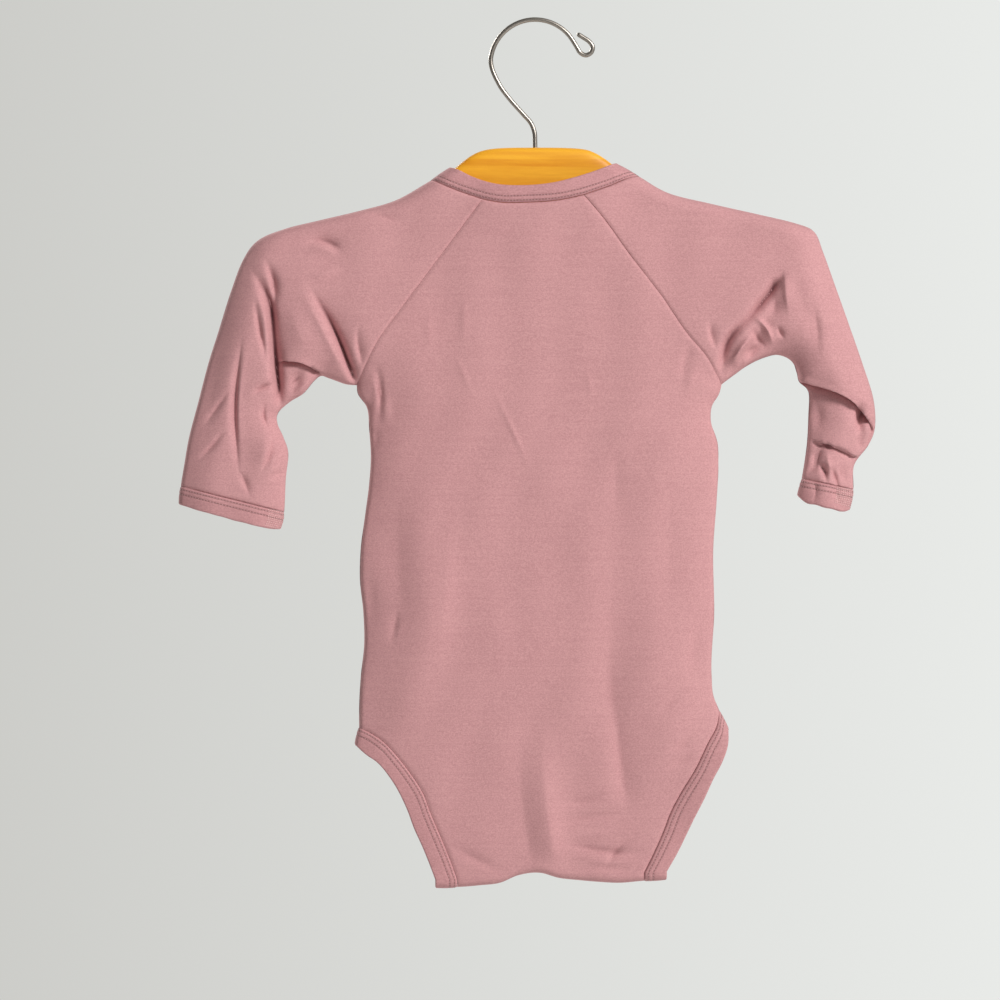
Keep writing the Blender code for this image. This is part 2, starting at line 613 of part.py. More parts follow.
def front_panel():
    """The front, from its lower neck seam to its lower end, which laps outside the back's tab."""
    flat, underarm = panel(armhole(SLEEVE_LEFT, FRONT_RAGLAN_LEFT, FRONT_NECK_LEFT),
                           armhole(SLEEVE_RIGHT, FRONT_RAGLAN_RIGHT, FRONT_NECK_RIGHT),
                           (SIDE_LEFT, SIDE_RIGHT), (FRONT_LEG_LEFT, FRONT_LEG_RIGHT), FRONT_NECK)
    grid = lay(flat[..., 0], flat[..., 1], "front")
    grid[..., 1] += SEAM_GAP / 2
    folded = slice(underarm, underarm + SIDE_ROWS + 1)
    return shell("front_panel", "jersey", grid, reference=PANEL_STEPS // 2, facing=1,
                 flat_edges=((folded, 0), (folded, -1)))


# ---------------------------------------------------------------- sleeves and cuffs

SLEEVE_ROWS = 23
CUFF_ROWS = 2


def sleeve_half(sleeve, raglan, neck, rows, side):
    """One layer of a sleeve as a grid from its underside fold to its top fold.

    Each row is the straight line between the two folds of a section. Near the body it is bent to
    follow the raglan and neck seams, by an amount that fades along the sleeve.
    """
    knots = np.arange(len(sleeve["top_x"]), dtype=float)
    top = spline(knots, points_of(sleeve_line(sleeve, "top")), rows)
    under = spline(knots, points_of(sleeve_line(sleeve, "under")), rows)
    seam, corner, _ = armhole(sleeve, raglan, neck)
    widths = np.hypot(*(top - under).T)
    share = np.array([turn_fractions(width, SLEEVE_STEPS, corner) for width in widths])[..., None]
    flat = under[:, None] * (1 - share) + top[:, None] * share
    cuff_seam = len(knots) - 2
    fade = (1 - np.clip(rows / cuff_seam, 0, 1)) ** 2
    flat += fade[:, None, None] * (seam - flat[0])
    return lay(flat[..., 0], flat[..., 1], side)


def tube(sleeve, back_seams, front_seams, rows):
    """Both layers of a sleeve as a ring of columns: the back from underside to top, then the front."""
    back = sleeve_half(sleeve, *back_seams, rows, "back")
    front = sleeve_half(sleeve, *front_seams, rows, "front")
    for layer in (back, front):
        layer[:, (0, -1), 1] = 0
    return np.concatenate([back, front[:, -2:0:-1]], axis=1)


def sleeve_and_cuff(label, sleeve, back_seams, front_seams):
    """A sleeve tube sewn along its underside, and the folded band sewn to its end."""
    cuff_seam = len(sleeve["top_x"]) - 2
    cuff_width = np.hypot(sleeve["top_x"][-1] - sleeve["top_x"][-2],
                          sleeve["top_drop"][-1] - sleeve["top_drop"][-2])
    reference = TURN_STEPS + SLEEVE_STEPS // 2
    grid = tube(sleeve, back_seams, front_seams, np.linspace(0, cuff_seam, SLEEVE_ROWS + 1))
    shell("sleeve_" + label, "jersey", grid, ring=True, reference=reference)
    rows = np.linspace(cuff_seam + SEAM_GAP / cuff_width, cuff_seam + 1, CUFF_ROWS + 1)
    grid = tube(sleeve, back_seams, front_seams, rows)
    shell("cuff_" + label, "binding", grid, wall=BAND_WALL, proud=BAND_PROUD, ring=True,
          reference=reference)


# ---------------------------------------------------------------- bindings

BINDING_ROWS = 2

# At the leg's side corner, where the cloth turns sharply, the binding stands a little further off.
CORNER_EASE = 0.6
CORNER_REACH = 5.0


def ribbon(seam, edge, side, ease=0.0):
    """Rows of points from just past the seam to the free edge, laid on a layer of the cloth.

    The gap at the seam is SEAM_GAP, and ease more at the seam's first point, fading over CORNER_REACH.
    """
    widths = np.hypot(*(edge - seam).T)
    from_start = np.hypot(*(seam - seam[0]).T)
    gap = SEAM_GAP + ease * np.exp(-(from_start / CORNER_REACH) ** 2)
    start = (gap / widths)[:, None]
    share = start + (1 - start) * np.linspace(0, 1, BINDING_ROWS + 1)[:, None, None]
    flat = seam * (1 - share) + edge * share
    return lay(flat[..., 0], flat[..., 1], side)


def neck_layer(left_armhole, neck, right_armhole, edge, side):
    """One layer of the neck binding, whose columns meet those of the sleeves and the panel."""
    left_seam, _, left_corner = left_armhole
    right_seam, _, right_corner = right_armhole
    seam = joined(left_seam[:left_corner:-1], neck_row(neck), right_seam[right_corner + 1:])
    layer = ribbon(seam, along(edge, length_knots(seam)), side)
    layer[:, (0, -1), 1] = 0
    return layer


def neck_band():
    """The neck binding, a ring that crosses the bar at both ends of the neck opening."""
    back = neck_layer(armhole(SLEEVE_LEFT, BACK_RAGLAN_LEFT, BACK_NECK_LEFT), BACK_NECK,
                      armhole(SLEEVE_RIGHT, BACK_RAGLAN_RIGHT, BACK_NECK_RIGHT), BACK_NECK_TOP, "back")
    front = neck_layer(armhole(SLEEVE_LEFT, FRONT_RAGLAN_LEFT, FRONT_NECK_LEFT), FRONT_NECK,
                       armhole(SLEEVE_RIGHT, FRONT_RAGLAN_RIGHT, FRONT_NECK_RIGHT), FRONT_NECK_TOP,
                       "front")
    grid = np.concatenate([back, front[:, -2:0:-1]], axis=1)
    return shell("neck_band", "binding", grid, wall=BAND_WALL, proud=BAND_PROUD, ring=True,
                 reference=back.shape[1] // 2)


def crotch_ribbon(seam, edge):
    """The binding's last stretch: from the start of the crotch fold round to the end of the tab."""
    half_turn = np.pi * CROTCH_RADIUS
    over = np.concatenate([np.linspace(0, half_turn, CROTCH_ROWS + 1),
                           half_turn + np.linspace(0, TAB_LENGTH, TAB_ROWS + 1)[1:]])
    share = np.linspace(SEAM_GAP / np.hypot(*(edge[-1] - seam[-1])), 1, BINDING_ROWS + 1)[:, None]
    x = seam[-1, 0] * (1 - share) + edge[-1, 0] * share + 0 * over
    turn_drop = spline(CROTCH_FOLD["x"], CROTCH_FOLD["drop"], x) - CROTCH_RADIUS
    return lay_round_crotch(x, turn_drop + over)


def leg_binding(label, back_seam, back_edge, front_seam, front_edge):
    """A leg binding: from the tab round the fold, up the back, over the side corner, down the front."""
    back_seam, back_edge = leg_seam(back_seam), leg_seam(back_edge)
    back = ribbon(back_seam, back_edge, "back", CORNER_EASE)
    front = ribbon(leg_seam(front_seam), leg_seam(front_edge), "front", CORNER_EASE)
    back[:, 0, 1] = 0
    grid = np.concatenate([crotch_ribbon(back_seam, back_edge)[:, ::-1], back[:, -2::-1], front[:, 1:]],
                          axis=1)
    reference = CROTCH_ROWS + TAB_ROWS + LEG_STEPS // 2
    return shell("leg_binding_" + label, "binding", grid, wall=BAND_WALL, proud=BAND_PROUD,
                 reference=reference)


# ---------------------------------------------------------------- snaps

def disc(name, centre, facing):
    """A press snap's cap: a low dome, a cone with its far rim rounded off, facing along y."""
    mesh = bpy.data.meshes.new(name)
    shape = bmesh.new()
    bmesh.ops.create_cone(shape, cap_ends=True, segments=16, radius1=SNAP_DIAMETER / 2 * MM,
                          radius2=SNAP_DIAMETER / 3 * MM, depth=SNAP_THICKNESS * MM)
    turn = np.array([(1, 0, 0), (0, 0, facing), (0, -facing, 0)], float)
    for vertex in shape.verts:
        vertex.co = turn @ np.array(vertex.co) + np.array(centre) * MM
    shape.to_mesh(mesh)
    shape.free()
    return add_object(name, mesh, "snap")


def snaps():
    """Three press snaps: a cap outside the front panel and a ring inside the back's tab."""
    middle = (FRONT_LEG_LEFT["x"][-1] + FRONT_LEG_RIGHT["x"][-1]) / 2
    for number in range(SNAP_COUNT):
        x = middle + (number - (SNAP_COUNT - 1) / 2) * SNAP_PITCH
        fold = float(spline(CROTCH_FOLD["x"], CROTCH_FOLD["drop"], x))
        drop = fold - CROTCH_RADIUS - FRONT_END_ABOVE_FOLD
        front_face = lay(np.array(x), np.array(drop), "front")[1]
        outside = front_face + SNAP_CLEARANCE + SNAP_THICKNESS / 2
        inside = CROTCH_RADIUS - WALL - SEAM_GAP - SNAP_THICKNESS / 2
        disc(f"snap_cap_{number + 1}", (x, outside, -drop), 1)
        disc(f"snap_ring_{number + 1}", (x, inside, -drop), -1)


# ---------------------------------------------------------------- hanger

def hanger_bar():
    """The wooden bar: a loft of rounded sections, with a blind hole for the hook's screw."""
    angles = np.linspace(0, 2 * np.pi, BAR_SIDES, endpoint=False)
    round_y = np.sign(np.cos(angles)) * np.abs(np.cos(angles)) ** BAR_SQUARENESS
    round_z = np.sign(np.sin(angles)) * np.abs(np.sin(angles)) ** BAR_SQUARENESS
    middle = (BAR["top"] + BAR["bottom"]) / 2
    height = BAR["bottom"] - BAR["top"]
    x = np.repeat(BAR["x"][:, None], BAR_SIDES, axis=1)
    y = BAR["thickness"][:, None] / 2 * round_y
    z = -middle[:, None] + height[:, None] / 2 * round_z
    vertices = np.stack([x, y, z], axis=-1).reshape(-1, 3) * MM
    numbers = np.arange(len(vertices)).reshape(-1, BAR_SIDES)
    numbers = np.concatenate([numbers, numbers[:, :1]], axis=1)
    faces = quads(numbers, True).tolist()
    faces += [numbers[0, :-1].tolist(), numbers[-1, -2::-1].tolist()]
    mesh = bpy.data.meshes.new("hanger_bar")
    mesh.from_pydata(vertices.tolist(), [], faces)
    mesh.shade_smooth()
    bar = add_object("hanger_bar", mesh, "wood")
    bar_top = -BAR["top"].min()
    bpy.ops.mesh.primitive_cylinder_add(vertices=HOLE_SIDES, radius=HOOK_HOLE / 2 * MM,
                                        depth=2 * (HOOK_SCREW_DEPTH + SEAM_GAP) * MM,
                                        location=(0, 0, bar_top * MM))
    hole = bpy.context.object
    hole.name = "hook_hole"
    hole.hide_render = True
    hole.display_type = "WIRE"
    for home in hole.users_collection:
        home.objects.unlink(hole)
    CUTTERS.objects.link(hole)
    cut = bar.modifiers.new("hook_hole", "BOOLEAN")
    cut.operation = "DIFFERENCE"
    cut.object = hole
    return bar


def hook():
    """The hook: a steel wire up from the bar, round the peg and rolled into an eye at its end."""
    angles = np.radians(np.linspace(*HOOK_ARC_ENDS, HOOK_ARC_POINTS))
    centre_drop = HOOK_RADIUS - WIRE / 2
    arc = np.column_stack([HOOK_RADIUS * np.cos(angles), centre_drop - HOOK_RADIUS * np.sin(angles)])
    guide = joined(points_of(HOOK_BEND), arc, points_of(HOOK_EYE))
    line = spline(length_knots(guide), guide, np.linspace(0, 1, HOOK_POINTS))
    curve = bpy.data.curves.new("hanger_hook", "CURVE")
    curve.dimensions = "3D"
    path = curve.splines.new("POLY")
    path.points.add(len(line) - 1)
    for point, (x, drop) in zip(path.points, line):
        point.co = (x * MM, 0, -drop * MM, 1)
    curve.bevel_depth = WIRE / 2 * MM
    curve.bevel_resolution = 2
    curve.use_fill_caps = True
    return add_object("hanger_hook", curve, "steel")


# ---------------------------------------------------------------- build

for thing in list(bpy.data.objects):
    bpy.data.objects.remove(thing, do_unlink=True)

COLLECTION = bpy.data.collections.new("baby_bodysuit_on_hanger")
CUTTERS = bpy.data.collections.new("cutters")
bpy.context.scene.collection.children.link(COLLECTION)
bpy.context.scene.collection.children.link(CUTTERS)

back_panel()
front_panel()
sleeve_and_cuff("left", SLEEVE_LEFT, (BACK_RAGLAN_LEFT, BACK_NECK_LEFT),
                (FRONT_RAGLAN_LEFT, FRONT_NECK_LEFT))
sleeve_and_cuff("right", SLEEVE_RIGHT, (BACK_RAGLAN_RIGHT, BACK_NECK_RIGHT),
                (FRONT_RAGLAN_RIGHT, FRONT_NECK_RIGHT))
neck_band()
leg_binding("left", BACK_LEG_LEFT, BACK_LEG_LEFT_EDGE, FRONT_LEG_LEFT, FRONT_LEG_LEFT_EDGE)
leg_binding("right", BACK_LEG_RIGHT, BACK_LEG_RIGHT_EDGE, FRONT_LEG_RIGHT, FRONT_LEG_RIGHT_EDGE)
snaps()
hanger_bar()
hook()
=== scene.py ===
import bpy
import numpy as np
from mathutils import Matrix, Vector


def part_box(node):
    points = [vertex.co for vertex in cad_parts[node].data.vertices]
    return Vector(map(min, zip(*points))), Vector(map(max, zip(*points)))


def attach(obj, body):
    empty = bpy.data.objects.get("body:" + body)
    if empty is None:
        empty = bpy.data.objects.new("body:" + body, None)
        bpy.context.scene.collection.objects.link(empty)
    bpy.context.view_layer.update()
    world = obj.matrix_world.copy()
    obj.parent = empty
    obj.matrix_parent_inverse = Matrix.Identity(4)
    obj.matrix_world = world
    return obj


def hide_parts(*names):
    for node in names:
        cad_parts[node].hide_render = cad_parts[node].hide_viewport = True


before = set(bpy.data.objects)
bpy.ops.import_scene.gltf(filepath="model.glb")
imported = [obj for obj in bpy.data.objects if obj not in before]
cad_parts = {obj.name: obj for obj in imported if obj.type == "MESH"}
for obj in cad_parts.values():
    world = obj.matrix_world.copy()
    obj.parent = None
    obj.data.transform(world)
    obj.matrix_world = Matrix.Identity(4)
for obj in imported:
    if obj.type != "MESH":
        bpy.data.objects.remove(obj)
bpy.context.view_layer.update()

# A long-sleeved raglan bodysuit for a baby, hung on a child's wooden hanger. The frame is the CAD model's:
# metres, +Z up, the origin at the inner top of the hook, the garment's back facing -Y. Tables are in
# millimetres: x to the right of the hook as seen from behind, and the drop below the origin.

# ---------------------------------------------------------------- wooden bar
# The bar is one strip of beech about 12 mm thick, sawn to a shallow arch with its edges rounded over.
# It is varnished a honey colour, the hook is screwed into its middle, and the shoulders lie over its arms.

MM = 0.001
BAR_SIDES = 48
BAR_STATIONS = 240
BAR_SQUARENESS = 0.5
BAR_CROWDING = 0.4
BAR_EASE = 5
WOOD_LIGHT = (0.98, 0.48, 0.024)
WOOD_DARK = (0.76, 0.28, 0.007)
GRAIN_STRETCH = (9.0, 150.0, 150.0)
FIBRE_STRETCH = (70.0, 1500.0, 1500.0)
LINE_STRETCH = (3.0, 60.0, 210.0)


def table(columns, *rows):
    """A short table: one array for each named column."""
    return dict(zip(columns.split(), np.array(rows, float).T))


BAR = table("x top bottom thickness",
    (-163, 136.5, 140.5, 5), (-162, 134.5, 143.5, 8.5), (-159.5, 132, 146, 10.5), (-155, 129.2, 146.5, 12),
    (-146, 126, 145, 12), (-138, 123.8, 143, 12), (-119, 118.9, 138.5, 12), (-98, 114.1, 134, 12),
    (-83.5, 109.6, 131, 12), (-72.5, 104.9, 128.5, 12), (-65, 100.3, 126.5, 12), (-60.5, 96.8, 125.5, 12),
    (-55, 92.8, 124, 12), (-51, 90.3, 123, 12), (-48, 88, 122, 12), (-43, 83.5, 120.5, 12),
    (-36.5, 79, 118.5, 12), (-29.5, 76.6, 117, 12), (-20, 75.7, 116, 12), (-10, 75.5, 115.5, 12),
    (0, 75.5, 115.3, 12), (10, 75.5, 115.5, 12), (20, 75.7, 116, 12), (29.5, 76.3, 117, 12),
    (35, 78, 118, 12), (40.5, 81.2, 119, 12), (46, 85.2, 120, 12), (48.5, 87.5, 120.5, 12),
    (52, 90.3, 121.5, 12), (57, 93.2, 122.5, 12), (62, 96, 124, 12), (67, 99.6, 125, 12),
    (78, 104.7, 127.5, 12), (95.5, 109.4, 130.5, 12), (115, 114, 134, 12), (138.5, 119, 139, 12),
    (150, 121.8, 141, 12), (158, 124.4, 142, 12), (163, 127.2, 142.5, 10.5), (166, 130, 141, 8.5),
    (167.5, 133, 138, 5))


def spline(knots, values, at):
    """Cubic through values at the knots: on each span the two ends' values and slopes are blended by the
    usual cubic weights, and a slope is the weighted difference of the neighbours."""
    slopes = np.gradient(values, knots, axis=0)
    at = np.asarray(at, float)
    i = np.clip(np.searchsorted(knots, at, side="right") - 1, 0, len(knots) - 2)
    span = knots[i + 1] - knots[i]
    q = (at - knots[i]) / span
    if values.ndim == 2:
        q, span = q[..., None], span[..., None]
    rise = q * q * (3 - 2 * q)
    return (values[i] * (1 - rise) + values[i + 1] * rise
            + slopes[i] * span * q * (1 - q) ** 2 - slopes[i + 1] * span * q * q * (1 - q))


def ring_of(numbers):
    """Rows of vertex numbers with each row's first one repeated at its end, so that it closes."""
    return np.concatenate([numbers, numbers[:, :1]], axis=1)


def quads(numbers):
    """Faces between neighbouring rows and columns of a grid of vertex numbers."""
    corners = (numbers[:-1, :-1], numbers[:-1, 1:], numbers[1:, 1:], numbers[1:, :-1])
    return np.stack([corner.ravel() for corner in corners], axis=1)


def tube_faces(rings, sides):
    """Faces of a tube of rings, with its two end caps."""
    numbers = np.arange(rings * sides).reshape(rings, sides)
    return quads(ring_of(numbers)).tolist() + [numbers[0, ::-1].tolist(), numbers[-1].tolist()]


def put(name, data):
    """A new object in the scene, at the origin, unturned and unscaled."""
    thing = bpy.data.objects.new(name, data)
    bpy.context.scene.collection.objects.link(thing)
    return thing


def make_piece(name, points, faces, material, uv=None, hollow=None):
    """A smooth mesh object in the frame's own place, from points in mm. uv, where given, is each vertex's
    place on the flat cloth, and hollow is how deep in a fold it lies, for the painted shade in folds."""
    mesh = bpy.data.meshes.new(name)
    mesh.from_pydata((points * MM).tolist(), [], faces)
    mesh.shade_smooth()
    if uv is not None:
        corners = np.empty(len(mesh.loops), dtype=np.int32)
        mesh.loops.foreach_get("vertex_index", corners)
        places = (uv[corners] * MM).ravel().astype(np.float32)
        mesh.uv_layers.new(name="cloth").data.foreach_set("uv", places)
    if hollow is not None:
        mesh.attributes.new("hollow", "FLOAT", "POINT").data.foreach_set("value", hollow.astype(np.float32))
    mesh.materials.append(material)
    piece = put(name, mesh)
    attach(piece, "root")
    return piece


class Wire:
    """A socket in a finish's nodes. Sums, differences and products of it add Math nodes."""

    def __init__(self, finish, socket):
        self.finish = finish
        self.socket = socket

    def maths(self, operation, *values):
        return self.finish.node("ShaderNodeMath", {"operation": operation}, dict(enumerate(values)))

    def __add__(self, other):
        return self.maths("ADD", self, other)

    def __sub__(self, other):
        return self.maths("SUBTRACT", self, other)

    def __rsub__(self, other):
        return self.maths("SUBTRACT", other, self)

    def __mul__(self, other):
        return self.maths("MULTIPLY", self, other)

    __radd__ = __add__
    __rmul__ = __mul__


class Finish:
    """A material, or the room's light, as it is mixed. Its shader's constants are set at once; node()
    adds every node."""

    def __init__(self, name, kind=bpy.data.materials, shader="Principled BSDF", **constants):
        self.data = kind.new(name)
        self.data.use_nodes = True
        self.tree = self.data.node_tree
        self.shader = self.tree.nodes[shader]
        for socket, value in constants.items():
            self.shader.inputs[socket.replace("_", " ")].default_value = value

    def node(self, kind, settings, sockets, output=0):
        """Add a node: its settings first, then a value or a link for each socket, by name or number."""
        made = self.tree.nodes.new(kind)
        for setting, value in settings.items():
            setattr(made, setting, value)
        for key, value in sockets.items():
            if isinstance(value, Wire):
                self.tree.links.new(value.socket, made.inputs[key])
            else:
                made.inputs[key].default_value = value
        return Wire(self, made.outputs[output])

    def set(self, socket, wire):
        """Let a wire drive one of the shader's sockets."""
        self.tree.links.new(wire.socket, self.shader.inputs[socket])

    def place(self):
        """Where a point is on the object, in metres."""
        return self.node("ShaderNodeTexCoord", {}, {}, "Object")

    def stretched(self, scale):
        """The place, scaled along each axis."""
        return self.node("ShaderNodeMapping", {"vector_type": "POINT"},
                         {"Vector": self.place(), "Scale": scale})

    def noise(self, vector, scale, detail=2.0, roughness=0.5, distortion=0.0):
        """Cloudy noise from 0 to 1 at a place."""
        return self.node("ShaderNodeTexNoise", {}, {"Vector": vector, "Scale": scale, "Detail": detail,
                                                    "Roughness": roughness, "Distortion": distortion})

    def ramp(self, value, low, high):
        """0 where the value is below low, 1 above high, smooth between."""
        return self.node("ShaderNodeMapRange", {"interpolation_type": "SMOOTHSTEP"},
                         {"Value": value, "From Min": low, "From Max": high})

    def blend(self, share, first, second):
        """Two colours mixed by a share from 0 to 1."""
        first, second = (part if isinstance(part, Wire) else (*part, 1) for part in (first, second))
        return self.node("ShaderNodeMix", {"data_type": "RGBA"}, {0: share, 6: first, 7: second}, 2)

    def bump(self, height, distance):
        """Tilt the surface by a height of 0 to 1, worth a distance in metres."""
        self.set("Normal", self.node("ShaderNodeBump", {}, {"Strength": 1.0, "Distance": distance,
                                                            "Height": height}))


def bar_surface():
    """Points of the bar: at each station along x a squared circle, whose half depth and half height are
    the cosine and sine of the angle raised to a power below 1, times half of the section's size. The size
    is in proportion between the table's rows, and away from the ends it is the mean of the nearest
    stations. These are even, mixed with the places of a half circle's equal angles."""
    even = np.linspace(0, 1, BAR_STATIONS)
    crowded = 0.5 - 0.5 * np.cos(np.linspace(0, np.pi, BAR_STATIONS))
    share = (1 - BAR_CROWDING) * even + BAR_CROWDING * crowded
    x = BAR["x"][0] + (BAR["x"][-1] - BAR["x"][0]) * share
    top, bottom, thickness = (np.interp(x, BAR["x"], BAR[name]) for name in ("top", "bottom", "thickness"))
    ease = (x > BAR["x"][3]) & (x < BAR["x"][-4])
    evening = np.ones(BAR_EASE) / BAR_EASE
    top, bottom = (np.where(ease, np.convolve(edge, evening, "same"), edge) for edge in (top, bottom))
    angle = np.linspace(0, 2 * np.pi, BAR_SIDES, endpoint=False)
    round_y, round_z = (np.sign(part) * np.abs(part) ** BAR_SQUARENESS
                        for part in (np.cos(angle), np.sin(angle)))
    y = thickness[:, None] / 2 * round_y
    z = -((top + bottom) / 2)[:, None] + ((bottom - top) / 2)[:, None] * round_z
    return np.stack([x[:, None] + 0 * y, y, z], axis=-1).reshape(-1, 3)


def varnished_wood():
    """Long grain along the bar in two browns, a few darker lines, fine fibres and a satin varnish."""
    finish = Finish("varnished_wood", Coat_Roughness=0.18, IOR=1.5)
    grain = finish.noise(finish.stretched(GRAIN_STRETCH), 1.0, 4.0, 0.62, 0.7)
    fibre = finish.noise(finish.stretched(FIBRE_STRETCH), 1.0)
    line = finish.ramp(finish.noise(finish.stretched(LINE_STRETCH), 1.0, 1.0, 0.5, 0.4), 0.60, 0.68)
    shade = finish.ramp(grain, 0.32, 0.72) * 0.55 + fibre * 0.2 + line * 0.35
    finish.set("Base Color", finish.blend(shade, WOOD_LIGHT, WOOD_DARK))
    finish.set("Roughness", 0.34 + fibre * 0.12)
    finish.set("Coat Weight", 0.35 - line * 0.15)
    finish.bump(grain * 0.3 + fibre * 0.7, 0.00006)
    return finish.data


bar = make_piece("wooden_bar", bar_surface(), tube_faces(BAR_STATIONS, BAR_SIDES), varnished_wood())
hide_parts("hanger_bar")

# ---------------------------------------------------------------- hook
# The hook is nickel-plated steel wire, 2.8 mm thick. It is screwed into the bar, bent to one side, turned
# round the peg and rolled into a small eye at its end.

WIRE = 2.8
HOOK_RADIUS = 26.7
HOOK_BEND = table("x drop",
    (0, 89.5), (0, 80), (0, 72), (-0.3, 66.5), (-2.3, 61), (-7, 55.5), (-15, 46.5), (-21.5, 37.5))
HOOK_ARC_ENDS = (172.0, 32.0)
HOOK_ARC_POINTS = 19
HOOK_EYE = table("x drop",
    (25.3, 15.5), (27.3, 18.6), (30.5, 20), (33.6, 18.5), (34.6, 15), (32.5, 11.8), (29, 9.4), (25.2, 7))
HOOK_RINGS = 260
HOOK_SIDES = 24
STEEL_LIGHT = (0.44, 0.40, 0.36)
STEEL_DARK = (0.30, 0.27, 0.24)


def points_of(rows, edge=""):
    """The x and drop columns of a table, or of one of its edges, as an array of points."""
    return np.column_stack([rows[edge + "x"], rows[edge + "drop"]])


def running(steps):
    """How far along each place is: 0, and then the sum of the steps up to it."""
    return np.concatenate([0 * steps[:1], np.cumsum(steps, axis=0)])


def length_knots(points):
    """How far along the polyline each point is, from 0 to 1."""
    steps = np.hypot(*np.diff(points, axis=0).T)
    return running(steps) / steps.sum()


def unit(vectors):
    """The vectors, each shortened or lengthened to 1."""
    return vectors / np.maximum(np.linalg.norm(vectors, axis=-1, keepdims=True), 1e-9)


def hook_surface():
    """Points of the wire: circles square to its centre line, which has a bend, an arc and an eye. Over the
    last half thickness of the free end the radius falls as a quarter circle."""
    angle = np.radians(np.linspace(*HOOK_ARC_ENDS, HOOK_ARC_POINTS))
    centre_drop = HOOK_RADIUS - WIRE / 2
    arc = np.column_stack([HOOK_RADIUS * np.cos(angle), centre_drop - HOOK_RADIUS * np.sin(angle)])
    guide = np.concatenate([points_of(HOOK_BEND), arc, points_of(HOOK_EYE)])
    line = spline(length_knots(guide), guide, np.linspace(0, 1, HOOK_RINGS))
    run = unit(np.gradient(line, axis=0))
    to_end = np.hypot(*(line - line[-1]).T)
    radius = WIRE / 2 * np.sqrt(1 - np.clip(1 - to_end / (WIRE / 2), 0, 0.97) ** 2)[:, None]
    turn = np.linspace(0, 2 * np.pi, HOOK_SIDES, endpoint=False)
    out = radius * np.cos(turn)
    x = line[:, :1] - run[:, 1:] * out
    drop = line[:, 1:] + run[:, :1] * out
    return np.stack([x, radius * np.sin(turn), -drop], axis=-1).reshape(-1, 3)


def plated_steel():
    """Satin nickel plate: fine specks of polish and faint clouds in it."""
    finish = Finish("plated_steel", Metallic=1.0)
    cloud = finish.noise(finish.place(), 160.0, 3.0)
    speck = finish.noise(finish.place(), 1800.0)
    finish.set("Base Color", finish.blend(cloud * 0.8 + speck * 0.2, STEEL_LIGHT, STEEL_DARK))
    finish.set("Roughness", 0.30 + cloud * 0.1 + speck * 0.04)
    finish.bump(speck, 0.000004)
    return finish.data


hook = make_piece("wire_hook", hook_surface(), tube_faces(HOOK_RINGS, HOOK_SIDES), plated_steel())
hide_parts("hanger_hook")

# ---------------------------------------------------------------- back panel
# The back is one piece of fine single jersey. It is sewn to the sleeves along slanting raglan seams and to
# the front at the sides. At the crotch it turns under in a soft fold and ends as the back's snap tab.

CLOTH = 0.8
GAP = 0.05
GAP_FADE = 15.0

# How the layers part from the fold lines that form the outline.
FOLD_HEIGHT = 3.0
FOLD_ROUND = 2.5
FOLD_SLACK = 0.15
BODY_RISE = 40.0
SLEEVE_RISE = 22.0
BAR_ROUND = 8.0
BAR_WRAP_END = (150.0, 174.0)
SLEEVE_START = (85.0, 130.0)
NECK_SLACK = 5.5
NECK_SLACK_CENTRE = (0.0, 95.0)
NECK_SLACK_REACH = (50.0, 42.0)
CROTCH_RADIUS = 5.0
TAB_LENGTH = 24.0

# How the cloth turns over at a lap, sinks at a seam and waves everywhere, and how deep in a fold the painted
# shade darkens it.
LAP_CALM = 4.0
LAP_FULL = 0.5
LAP_GROOVE = 2.0
SEAM_DIP = 0.6
SEAM_WIDTH = 1.0
SEAM_PULL = 0.16
SEAM_PULL_WIDTH = 5.0
WAVES = 0.22
WAVE_SINES = ((0.055, 0.012, 0.3), (-0.08, 0.021, 1.9), (0.125, -0.017, 4.1), (0.19, 0.035, 2.2))
HOLLOW_REACH = 8
HOLLOW_SHADE = (0.25, 2.8, 0.85)

# The cut of the back, from the neck seam to the end of the tab, and the size of the cloth's grid.
TURN_STEPS = 8
BACK_ROWS = (84, 150, 80)
BACK_STEPS = 164
CROTCH_STEPS = 12
TAB_STEPS = 10

JERSEY_LIGHT = (0.640, 0.338, 0.348)
JERSEY_DARK = (0.520, 0.258, 0.272)
# Painted shade: the colour the jersey is blended towards deep in a fold.
PAINTED_FOLD_SHADE = (0.150, 0.045, 0.052)
STREAK_STRETCH = (700.0, 700.0, 1500.0)
COURSE_STRETCH = (14.0, 14.0, 900.0)
# Painted shade along each row of stitches: its colour, the distances in mm over which it fades out, and its
# share.
PAINTED_STITCH_SHADE = (0.20, 0.085, 0.09)
PAINTED_STITCH_SHADE_FADE = (0.6, 0.3)
PAINTED_STITCH_SHADE_SHARE = 0.6

